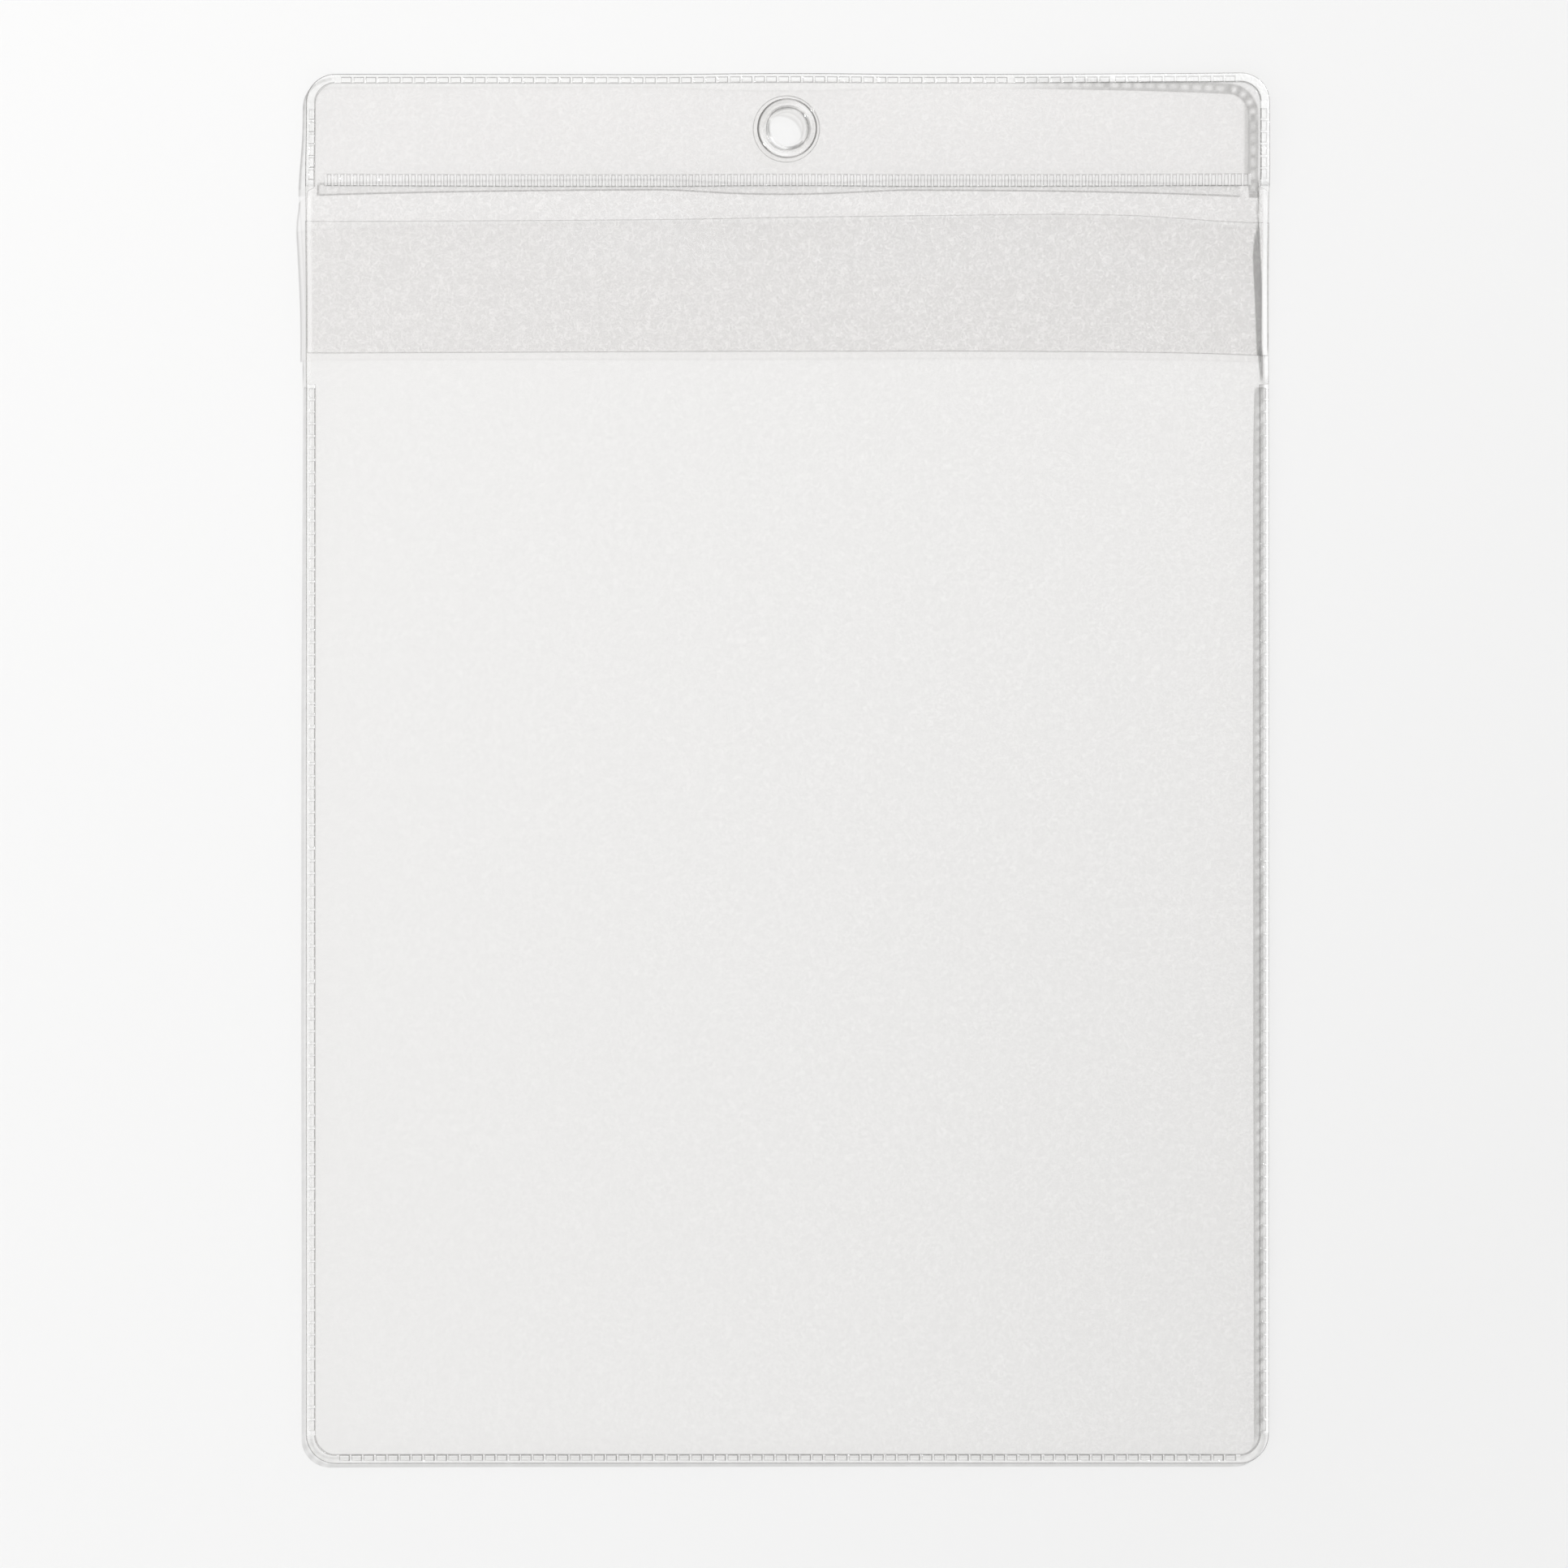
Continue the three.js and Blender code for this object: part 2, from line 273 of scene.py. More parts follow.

# %% [markdown]
# ## Clear vinyl
# Soft PVC film is calendered between rollers: clear, glossy, with a very fine pebbled grain and a
# trace of milky haze. Glass in the shader would blur the wall behind it, and a film this thin
# doesn't bend light. So it is built from three things: a transparent body with a slight tint, a
# little haze that catches the light, and gloss by Fresnel's law. A clear film is seen mainly by
# the light that it takes on its way from the lamp to the wall, so that light has its own tint.
# Where the surface is steep, at cut edges and at the walls of pressed cells, light is led away
# sideways, and the eye sees a grey line; here that grey is painted shade. Where it is pressed or bent
# towards the lamp, light is scattered back, and it looks white; that white is a painted highlight.
# Each mesh carries both as one attribute, "edge": 1 is a fully grey line, 0 the clear flat, -1
# white. How much of the lamp's light a place takes is the attribute "shade".

# %% Grain
swell_mm = 22.0  # the film's slow swells, which wave what its gloss mirrors
swell_share = 4.0  # their height, in heights of a pebble
line_start, line_end = 0.01, 0.07  # how far from its middle the noise turns from light line to grey
grain_below, grain_above = 1.2, 0.6  # share of the grain below the seam and above it


def grain_nodes(tree, grain_mm, grain_height_mm, grain_grey, grain_sides):
    """The bump that the gloss sees, and how grey the film looks, as two sockets.

    The grain is noise. The film is light where the noise n crosses its middle, and grey by up to
    grain_grey where |n - 0.5| is larger. That is taken times one share at the left side and another
    at the right, grain_sides, and halved above the seam, where the warm die has smoothed the film.
    """
    place = add(tree, "ShaderNodeTexCoord").outputs["Object"]
    form = {"Detail": 1.0, "Roughness": 0.4, "Distortion": 1.0}
    fine = {"Vector": place, "Scale": 1 / (grain_mm * MM), **form}
    pebbles = add(tree, "ShaderNodeTexNoise", fine).outputs["Fac"]
    from_middle = add(tree, "ShaderNodeMath", {0: pebbles, 1: 0.5}, operation="SUBTRACT")
    off_line = add(tree, "ShaderNodeMath", {0: from_middle.outputs[0]}, operation="ABSOLUTE")
    slopes = add(tree, "ShaderNodeMapRange", {0: off_line.outputs[0], 1: line_start, 2: line_end})
    axes = add(tree, "ShaderNodeSeparateXYZ", {0: place})
    left, right = (share * grain_grey for share in grain_sides)
    x_range = {0: axes.outputs["X"], 1: -half_width * MM, 2: half_width * MM, 3: left, 4: right}
    z_range = {0: axes.outputs["Z"], 1: seam_bottom * MM, 2: seam_top * MM}
    z_range.update({3: grain_below, 4: grain_above})
    strength = add(tree, "ShaderNodeMapRange", x_range).outputs[0]
    smoothed = add(tree, "ShaderNodeMapRange", z_range).outputs[0]
    share = add(tree, "ShaderNodeMath", {0: strength, 1: smoothed}, operation="MULTIPLY").outputs[0]
    grey = add(tree, "ShaderNodeMath", {0: slopes.outputs[0], 1: share}, operation="MULTIPLY")
    wide = {"Vector": place, "Scale": 1 / (swell_mm * MM), "Detail": 0.0}
    swells = add(tree, "ShaderNodeTexNoise", wide).outputs["Fac"]
    terms = {0: swells, 1: swell_share, 2: pebbles}
    height = add(tree, "ShaderNodeMath", terms, operation="MULTIPLY_ADD")
    relief = {"Strength": 1.0, "Distance": grain_height_mm * MM, "Height": height.outputs[0]}
    return add(tree, "ShaderNodeBump", relief).outputs[0], grey.outputs[0]


# %% Clear plastic
plastic_ior = 1.53
even_grain = (1.0, 1.0)


def clear_plastic(
    name, clearness, shadow_clearness, haze, edge_haze, roughness, grain_mm, grain_height_mm,
    grain_grey=0.0, grain_sides=even_grain, haze_colour="#ffffff", edge_shade_colour="#8f8e8c",
):
    """Clear plastic whose light is tinted once at each face.

    clearness is the share of light, by channel, that one wall of it lets through to the eye, and
    shadow_clearness what it lets through on the way from the lamp: pressed plastic spreads that light
    sideways. Each of its two faces takes the square root. The face that is met first also has haze
    and, by Fresnel, gloss. The edge attribute moves the tint towards edge_shade_colour, for painted
    shade, and the haze towards edge_haze, and below 0 towards white, for a painted highlight. The
    shade attribute moves the tint of the lamp's light.
    """
    material, output = new_material(name)
    tree = material.node_tree
    grain, grain_tint = grain_nodes(tree, grain_mm, grain_height_mm, grain_grey, grain_sides)
    edge = add(tree, "ShaderNodeAttribute", attribute_name="edge").outputs["Fac"]
    shade = add(tree, "ShaderNodeAttribute", attribute_name="shade").outputs["Fac"]
    grey = add(tree, "ShaderNodeMath", {0: edge, 1: grain_tint}, operation="ADD").outputs[0]
    bodies = []
    for share, tint in ((grey, clearness), (shade, shadow_clearness)):
        mix = {"Factor": share, "A": (*np.sqrt(tint), 1.0), "B": linear(edge_shade_colour)}
        tinted = add(tree, "ShaderNodeMix", mix, data_type="RGBA").outputs["Result"]
        bodies.append(add(tree, "ShaderNodeBsdfTransparent", {"Color": tinted}).outputs[0])
    clear, shadow = bodies
    smooth = {"Roughness": roughness, "Normal": grain}
    milky = {"Base Color": linear(haze_colour), "IOR": plastic_ior, **smooth}
    milk = add(tree, "ShaderNodeBsdfPrincipled", milky).outputs[0]
    still_milk = add(tree, "ShaderNodeMapRange", {0: edge, 3: haze, 4: edge_haze}).outputs[0]
    # Below 0 the edge attribute mixes in white milk: a painted highlight.
    glare = add(tree, "ShaderNodeMapRange", {0: edge, 1: 0.0, 2: -1.0}).outputs[0]
    milk_share = add(tree, "ShaderNodeMath", {0: still_milk, 1: glare}, operation="MAXIMUM").outputs[0]
    bulk = add(tree, "ShaderNodeMixShader", {0: milk_share, 1: clear, 2: milk}).outputs[0]
    gloss = add(tree, "ShaderNodeBsdfGlossy", smooth).outputs[0]
    mirror = add(tree, "ShaderNodeFresnel", {"IOR": plastic_ior, "Normal": grain}).outputs[0]
    met = add(tree, "ShaderNodeMixShader", {0: mirror, 1: bulk, 2: gloss}).outputs[0]
    leaving = add(tree, "ShaderNodeNewGeometry").outputs["Backfacing"]
    seen = add(tree, "ShaderNodeMixShader", {0: leaving, 1: met, 2: clear}).outputs[0]
    path = add(tree, "ShaderNodeLightPath").outputs
    ends = {0: path["Is Shadow Ray"], 1: path["Is Diffuse Ray"]}
    lamp_light = add(tree, "ShaderNodeMath", ends, operation="MAXIMUM").outputs[0]
    surface = add(tree, "ShaderNodeMixShader", {0: lamp_light, 1: seen, 2: shadow})
    tree.links.new(surface.outputs[0], output.inputs["Surface"])
    print(f"{name}: lets {min(clearness):.3f} through, haze {haze}")
    return material


# %% [markdown]
# ## Five finishes
# The header film has taken up the coarsest grain, and the front panel is the smoothest film. The
# back film lies on the wall, so its shadow is hidden behind it. The weld is the same vinyl, pressed
# glossy by the die. The eyelet is a harder, clearer plastic, moulded in a polished tool, and its
# thick rings lead more light away, so its painted shade lines are darker.

# %% The finishes
header_vinyl = clear_plastic(
    "grained_clear_vinyl",
    clearness=(0.972, 0.967, 0.966),
    shadow_clearness=(0.967, 0.961, 0.960),
    haze=0.08,
    edge_haze=0.2,
    roughness=0.25,
    grain_mm=1.5,
    grain_height_mm=0.1,
    grain_grey=0.06,
    grain_sides=(1.0, 1.3),
)
front_vinyl = clear_plastic(
    "calendered_clear_vinyl",
    clearness=(0.996, 0.9955, 0.995),
    shadow_clearness=(0.950, 0.946, 0.943),
    haze=0.05,
    edge_haze=0.2,
    roughness=0.2,
    grain_mm=1.3,
    grain_height_mm=0.06,
    grain_grey=0.02,
    grain_sides=(0.8, 1.8),
)
back_vinyl = clear_plastic(
    "clear_vinyl_that_lies_on_the_wall",
    clearness=(0.999, 0.998, 0.997),
    shadow_clearness=(0.985, 0.981, 0.978),
    haze=0.02,
    edge_haze=0.2,
    roughness=0.2,
    grain_mm=2.4,
    grain_height_mm=0.15,
    haze_colour="#f1efec",
)
weld_vinyl = clear_plastic(
    "pressed_weld_vinyl",
    clearness=(0.999, 0.998, 0.997),
    shadow_clearness=(0.99, 0.99, 0.988),
    haze=0.12,
    edge_haze=0.15,
    roughness=0.14,
    grain_mm=1.3,
    grain_height_mm=0.2,
)
eyelet_acetate = clear_plastic(
    "moulded_clear_plastic",
    clearness=(0.999, 0.998, 0.997),
    shadow_clearness=(0.99, 0.99, 0.987),
    haze=0.05,
    edge_haze=0.1,
    roughness=0.06,
    grain_mm=6.0,
    grain_height_mm=0.01,
    edge_shade_colour="#6c6b69",
)

# %% [markdown]
# ## How the films hang
# Soft film never lies flat. The eyelet's washer holds the header two millimetres off the wall, the
# right corner and the mouth stand off it, and the lower part falls back against it. One field says
# how far everything at a point stands forward, for all films and welds alike, so that they never
# cut each other. It is put together from three plumb lines, left, middle and right.


# %% Smooth curves
def smoothstep(start, end, value):
    """0 before start, 1 after end, and 3s^2 - 2s^3 between."""
    share = np.clip((value - start) / (end - start), 0, 1)
    return share * share * (3 - 2 * share)


def through(stations, value):
    """Smooth curve through (place, value) stations: cubic Hermite pieces with neighbours' slopes."""
    places, values = np.array(sorted(stations)).T
    slopes = np.gradient(values, places)
    i = np.clip(np.searchsorted(places, value) - 1, 0, len(places) - 2)
    span = places[i + 1] - places[i]
    s = np.clip((value - places[i]) / span, 0, 1)
    return (
        (2 * s**3 - 3 * s**2 + 1) * values[i]
        + (s**3 - 2 * s**2 + s) * span * slopes[i]
        + (3 * s**2 - 2 * s**3) * values[i + 1]
        + (s**3 - s**2) * span * slopes[i + 1]
    )


print(f"halfway, a smooth step is at {smoothstep(0, 1, 0.5)}")

# %% The hang
# How far the films stand forward of their CAD place, in mm, down each plumb line
left_line = [
    (top_edge, -1.1),
    (0, -0.8),
    (seam_bottom, 0.5),
    (panel_top - 5, -0.5),
    (-43, -1.6),
    (side_weld_top, -1.6),
    (-120, -1.1),
    (-250, -0.9),
    (bottom_edge, -1.0),
]
middle_line = [
    (top_edge, -1.5),
    (0, 0.0),
    (seam_bottom, -1.67),
    (flap_edge, -1.3),
    (-120, -1.4),
    (bottom_edge, -1.4),
]
right_line = [
    (top_edge, 1.2),
    (0, 1.1),
    (seam_bottom, 0.9),
    (panel_top + 1, -0.6),
    (panel_top - 8, -1.6),
    (flap_edge, -1.75),
    (side_weld_top - 6, -1.2),
    (-120, -1.05),
    (-250, -1.1),
    (bottom_edge, -1.3),
]
eyelet_hold, eyelet_ease = 9.5, 34.0  # radii between which the eyelet lets the film go
short_wave, long_wave = 0.09, 0.05  # heights of the film's own waves


def lift(x, z):
    """How far a point stands forward, in mm: the plumb lines mixed by x cubed, plus shallow waves."""
    across = x / half_width
    to_left = np.clip(-across, 0, 1) ** 3
    to_right = np.clip(across, 0, 1) ** 3
    hang = (
        to_left * through(left_line, z)
        + to_right * through(right_line, z)
        + (1 - to_left - to_right) * through(middle_line, z)
    )
    waves = short_wave * np.sin(x / 17 + 0.8 * np.sin(z / 31)) * np.sin(z / 23 + 1.1)
    waves += long_wave * np.sin(x / 41 - z / 37 + 0.6)
    return smoothstep(eyelet_hold, eyelet_ease, np.hypot(x, z)) * (hang + waves)


print(f"lift at the right end of the seam {lift(half_width, seam_bottom):.2f} mm")

# %% [markdown]
# ## Shells
# Films and bands are the same kind of thing: a flat net of quads, a front and a back that both
# follow it at some depth, and a rim that closes them. One function makes them all. The rim bulges by
# a hair, as a cut edge does, which gives it the fine highlight of a real edge.

# %% Closed shells
rim_bulge = 0.05


def open_edges(quads):
    """Start and end points of the sides that only one quad has, turning as the quads do."""
    pairs = np.stack([quads, np.roll(quads, -1, axis=1)], axis=2).reshape(-1, 2)
    _, first, uses = np.unique(np.sort(pairs, axis=1), axis=0, return_index=True, return_counts=True)
    return pairs[first[uses == 1]].T


def closed_shell(name, flat, quads, front, back, edge, shade, material, slot):
    """A closed mesh over a net in (x, z). front and back are depths in mm.

    Each point p of the net becomes (x, -(front + lift), z) and (x, -(back + lift), z). Where an edge
    of the net has one quad only, a rim joins the two, with a middle ring pushed out by rim_bulge.
    """
    count = len(flat)
    x, z = flat.T
    forward = lift(x, z)
    start, end = open_edges(quads)
    step = flat[end] - flat[start]
    outward = np.stack([step[:, 1], -step[:, 0]], axis=1) / np.linalg.norm(step, axis=1, keepdims=True)
    push = np.zeros((count, 2))
    np.add.at(push, start, outward)
    np.add.at(push, end, outward)
    rim_points = np.unique(start)
    push = push[rim_points] / np.linalg.norm(push[rim_points], axis=1, keepdims=True)
    ring = np.full(count, -1)
    ring[rim_points] = 2 * count + np.arange(len(rim_points))
    middle = (front + back)[rim_points] / 2 + forward[rim_points]
    bulged = flat[rim_points] + push * rim_bulge
    vertices = np.concatenate(
        [
            np.stack([x, -(front + forward), z], axis=1),
            np.stack([x, -(back + forward), z], axis=1),
            np.stack([bulged[:, 0], -middle, bulged[:, 1]], axis=1),
        ]
    )
    faces = np.concatenate(
        [
            quads,
            quads[:, ::-1] + count,
            np.stack([end, start, ring[start], ring[end]], axis=1),
            np.stack([ring[end], ring[start], start + count, end + count], axis=1),
        ]
    )
    edge, shade = (np.concatenate([value, value, value[rim_points]]) for value in (edge, shade))
    return shell_object(name, vertices, faces, edge, shade, material)


def shell_object(name, vertices, faces, edge, shade, material):
    """A smooth mesh object at the origin, in metres, with edge and shade on its points."""
    mesh = bpy.data.meshes.new(name)
    mesh.from_pydata((vertices * MM).tolist(), [], faces.tolist())
    for attribute, value in (("edge", edge), ("shade", shade)):
        layer = mesh.attributes.new(attribute, "FLOAT", "POINT")
        layer.data.foreach_set("value", value.astype(np.float32))
    mesh.shade_smooth()
    mesh.materials.append(material)
    piece = bpy.data.objects.new(name, mesh)
    scene.collection.objects.link(piece)
    print(f"{name}: {len(vertices)} points, {len(faces)} faces")
    return piece


def grid_quads(rows, columns):
    """Quads of a grid whose points run row by row, anticlockwise if rows go up and columns right."""
    corner = (np.arange(rows - 1)[:, None] * columns + np.arange(columns - 1)).ravel()
    return np.stack([corner, corner + 1, corner + columns + 1, corner + columns], axis=1)


# %% [markdown]
# ## The films
# A film is cut from the roll as a rounded rectangle. A filled curve would make one flat face of it,
# which can't bend, so it gets a net of quads instead. The net has rows across, each as wide as the
# outline is there, and the rows crowd together round the corners, where the width changes fast.
# Close to each cut there is one more row and column, so that the grey of the cut stays a thin line.
# Round the eyelet's hole a square of the net is swapped for rings that run from the hole's circle
# to the square's sides.

# %% Rows and columns
# The grey line along a cut is painted shade, where the cut edge leads light away.
cut_line = 0.22  # width of the grey line along a cut edge
cut_grey = 0.3  # how grey it looks
cut_shade = 0.12  # and how much of the lamp's light it takes
side_lines = np.array([0.55, 0.95, *np.arange(1.2, 3.7, 0.2)])  # fine columns, for the sides' shades
least_gap = 0.1  # between two rows or columns
corner_steps = 10


def spaced(start, end, pitch):
    """Evenly spaced places from start to end, at most pitch apart."""
    count = max(1, int(np.ceil(abs(end - start) / pitch)))
    return np.linspace(start, end, count + 1)


def corner_rows(edge, radius, upwards):
    """Rows through a round corner, at equal angles a: radius * (1 - sin a) inside the edge."""
    angle = np.linspace(0, np.pi / 2, corner_steps + 1)
    return edge - upwards * radius * (1 - np.sin(angle))


def together(*groups):
    """All places of the groups in order, without those too close to one of an earlier group."""
    places = np.array([np.inf])
    for group in groups:
        group = np.atleast_1d(group)
        gap = np.abs(group[:, None] - places[None]).min(axis=1)
        places = np.concatenate([places, group[gap > least_gap]])
    return np.sort(places[1:])


def round_width(z, low, high, radius, width):
    """Half width of a rounded rectangle at z: less by r - sqrt(r^2 - d^2), d deep into a corner."""
    deep = np.clip(np.maximum(z - (high - radius), low + radius - z), 0, radius)
    return width - radius + np.sqrt(radius**2 - deep**2)


def film_columns(width, pitch, fixed=()):
    """Column places across a film, with a narrow column at each cut and the fixed ones kept."""
    rim = width - cut_line
    sides = (side_lines - width, width - side_lines)
    return together([-width, -rim, rim, width], *sides, fixed, spaced(-rim, rim, pitch))


film_pitch = 2.4
print(len(film_columns(half_width, film_pitch)), "columns across a film")

# %% Film nets
hole_radius = 5.0
patch_half = 9.6  # half of the square round the hole
patch_cells = 16
ring_shares = [0.25, 0.5, 0.75, 1.0]  # places of the rings between the hole and the square
squeeze_reach = 14.0  # only columns this close to the sides follow a round corner
patch_lines = np.linspace(-patch_half, patch_half, patch_cells + 1)


def film_net(rows, widths, columns):
    """Points and quads of a film. Its outer columns are squeezed to each row's half width."""
    full = columns[-1]
    core = full - squeeze_reach
    outside = np.clip(np.abs(columns) - core, 0, None) * np.sign(columns)
    inside = columns - outside
    x = inside[None] + outside[None] * (widths[:, None] - core) / squeeze_reach
    flat = np.stack([x, np.repeat(rows[:, None], len(columns), 1)], axis=2).reshape(-1, 2)
    return flat, grid_quads(len(rows), len(columns))


def pierced(flat, quads):
    """The net with the square round the hole swapped for rings from the hole's circle to its sides."""
    middles = flat[quads].mean(axis=1)
    quads = quads[np.abs(middles).max(axis=1) > patch_half]
    square = flat[np.abs(np.abs(flat).max(axis=1) - patch_half) < 1e-6]
    square = square[np.argsort(np.arctan2(square[:, 1], square[:, 0]))]
    angle = np.arctan2(square[:, 1], square[:, 0])
    circle = hole_radius * np.stack([np.cos(angle), np.sin(angle)], axis=1)
    first_ring = cut_line / (patch_half - hole_radius)
    share = np.array([0, first_ring, *ring_shares])[:, None, None]
    rings = circle * (1 - share) + square * share
    turn = len(square)
    i, j = np.divmod(grid_quads(len(share), turn + 1), turn + 1)
    ring_quads = (i * turn + j % turn)[:, ::-1] + len(flat)
    points = np.concatenate([flat, rings.reshape(-1, 2)])
    faces = np.concatenate([quads, ring_quads])
    _, keep, same = np.unique(np.round(points, 4), axis=0, return_index=True, return_inverse=True)
    faces = same.reshape(-1)[faces]
    used = np.unique(faces)
    place = np.full(len(keep), -1)
    place[used] = np.arange(len(used))
    return points[keep][used], place[faces]


def cut_weights(flat, quads):
    """1 on the points of the net's open edges and 0 elsewhere."""
    weights = np.zeros(len(flat))
    weights[open_edges(quads)[0]] = 1
    return weights


print(f"the square round the hole is {2 * patch_half} mm wide, in {patch_cells} steps")


# %% Back film
def back_film():
    """The full-size film, a rounded rectangle with the eyelet's hole."""
    rows = together(
        [bottom_edge, bottom_edge + cut_line, top_edge - cut_line, top_edge],
        patch_lines,
        corner_rows(top_edge, corner_radius, 1),
        corner_rows(bottom_edge, corner_radius, -1),
        spaced(bottom_edge + corner_radius, top_edge - corner_radius, film_pitch),
    )
    widths = round_width(rows, bottom_edge, top_edge, corner_radius, half_width)
    flat, quads = pierced(*film_net(rows, widths, film_columns(half_width, film_pitch, patch_lines)))
    front = np.zeros(len(flat))
    back = front - film_thickness
    cut = cut_weights(flat, quads)
    edge, shade = cut_grey * cut, cut_shade * cut
    return closed_shell("back_film", flat, quads, front, back, edge, shade, back_vinyl, "clear_film")


back_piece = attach(back_film(), "pocket")
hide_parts("back_sheet")

# %% [markdown]
# ## The header film and its flap
# One film runs from the top weld down through the cross seam and hangs on as the flap. It widens
# just under the seam, steps forward over the front panel's lip and curls a little at its free
# sides. Two films that meet at the fold would open a gap when the flap is lifted, so it stays one
# piece.

# %% Curls and depths
radius_ease = 0.3  # how much rounder the inner corners are
inner_radius = corner_radius - weld_width + radius_ease
fold_end = seam_bottom - 2.6
curl_start = 108.0  # from here to the sides the free films curl forward
lip_bow = 0.15  # how far the lip bows forward
flap_bow = 0.1  # and the flap beyond it
flap_curl = 1.4  # the flap's curl, in curls of the lip
left_curl, right_curl = 0.4, 0.1


def curled(x):
    """How far the free sides of lip and flap curl forward."""
    side_curl = np.where(x < 0, left_curl, right_curl)
    return side_curl * smoothstep(curl_start, half_width, np.abs(x))


def lip_extra(x, z):
    """How much further forward the free lip stands: it bows at the mouth and curls at its sides."""
    return smoothstep(side_weld_top - 1, panel_top, z) * (lip_bow + curled(x))


def flap_extra(x, z):
    """The flap follows the lip's curl and swings a little further at its free edge and sides."""
    return smoothstep(fold_end, panel_top - 2, z) * (lip_bow + flap_bow + flap_curl * curled(x))


def header_depth(z):
    """Depth of the header film's rear: on the back film, out to the fold, then over the lip."""
    out_of_seam = smoothstep(seam_bottom, seam_bottom - 1.6, z)
    over_lip = smoothstep(seam_bottom - 1.2, panel_top + 1.3, z)
    fold_depth = header_band_depth - 0.1
    return film_gap + out_of_seam * (fold_depth - film_gap) + over_lip * (flap_depth - fold_depth)


flap_sag = header_depth(flap_edge) - header_depth(seam_top)
print(f"the flap hangs {flap_sag:.2f} mm further forward than the header")

# %% [markdown]
# ## Free sides that catch the light
# Lip and flap hang free at their sides, so they curl towards the lamp. The eye sees a white strip
# there, and on the right a dark fold inside it, where the film is seen edge-on. Both are painted: the
# strip is a painted highlight, and the fold is painted shade, with no such fold in the mesh. A real
# curl of that size would need a far finer net, so its greys are worked out and go into the two
# attributes.

# %% Shades of the free sides
curl_shades = (0.03, 0.12)  # light that a curled side takes, on the left and on the right
# the white of a curled side is a painted highlight
curl_glares = (0.3, 0.8)  # and how white it looks itself
contour_shade = 0.5  # more shade at the very edge
contour = 0.1  # and how wide it is
seam_strip, lower_strip = 0.4, 1.8  # width of the curled strip at the seam and lower down


def side_shade(x, z, reach, low, high):
    """Light taken by a free side that has curled, from low to high: a strip that widens downwards."""
    width = seam_strip + (lower_strip - seam_strip) * smoothstep(seam_bottom - 5, panel_top - 7, z)
    beside = smoothstep(reach - width, reach - 0.35 * width, np.abs(x))
    at_edge = contour_shade * (np.abs(x) > reach - contour)
    strength = np.where(x < 0, *curl_shades)
    ends = smoothstep(low, low + 4, z) * smoothstep(high, high - 1.5, z)
    return (strength * beside + at_edge) * ends


# %% Painted highlight and shade of the free sides
# Painted shade of a fold right of the mouth: height, and how far inside the edge it starts and ends
painted_fold_shade = [
    (seam_bottom - 1, 2.1, 2.5),
    (-24, 2.0, 2.5),
    (-25.4, 1.9, 2.9),
    (-29.3, 1.8, 3.4),
    (-35, 1.4, 3.2),
    (-41, 1.4, 2.9),
    (-50, 1.4, 2.6),
    (-54.5, 1.35, 2.4),
    (-58.8, 1.4, 2.0),
    (side_weld_top, 1.4, 1.6),
]
painted_fold_grey = 0.45
# the white strip is a painted highlight
white_strip = 1.25  # how wide the white strip is, and how much of that it takes to fade
white_ease = 0.25
fold_spread, fold_ease = 0.15, 0.1  # how the fold's two sides fade out and in


def painted_side_light(x, z, reach, low, high):
    """What is seen, from low to high, of a free side that has curled towards the lamp.

    The painted shade is painted_fold_grey between the fold's start and end, on the right only, minus
    the white of the strip at the very side, a painted highlight. Both fade by smooth steps.
    """
    inside = reach - np.abs(x)
    white = np.where(x < 0, *curl_glares) * smoothstep(white_strip, white_strip - white_ease, inside)
    near = through([(height, start) for height, start, end in painted_fold_shade], z)
    far = through([(height, end) for height, start, end in painted_fold_shade], z)
    after_near = smoothstep(near - fold_spread, near + fold_ease, inside)
    before_far = smoothstep(far + fold_spread, far - fold_ease, inside)
    dark = painted_fold_grey * (x > 0) * after_near * before_far
    return (dark - white) * smoothstep(low, low + 1, z) * smoothstep(high + 1, high, z)


print(f"the fold is up to {max(end - start for height, start, end in painted_fold_shade):.1f} mm wide")

# %% Header film
beside_weld_shade = 0.3  # light taken by the header film along the right weld, where it is bent
smoothed_shade = 0.014  # and by its smoothed part above the seam, which has less light grain
flap_hem = [
    (-half_width, -0.3),
    (0, 0.1),
    (half_width * 0.5, 0.1),
    (half_width * 0.9, -0.5),
    (half_width, -0.9),
]


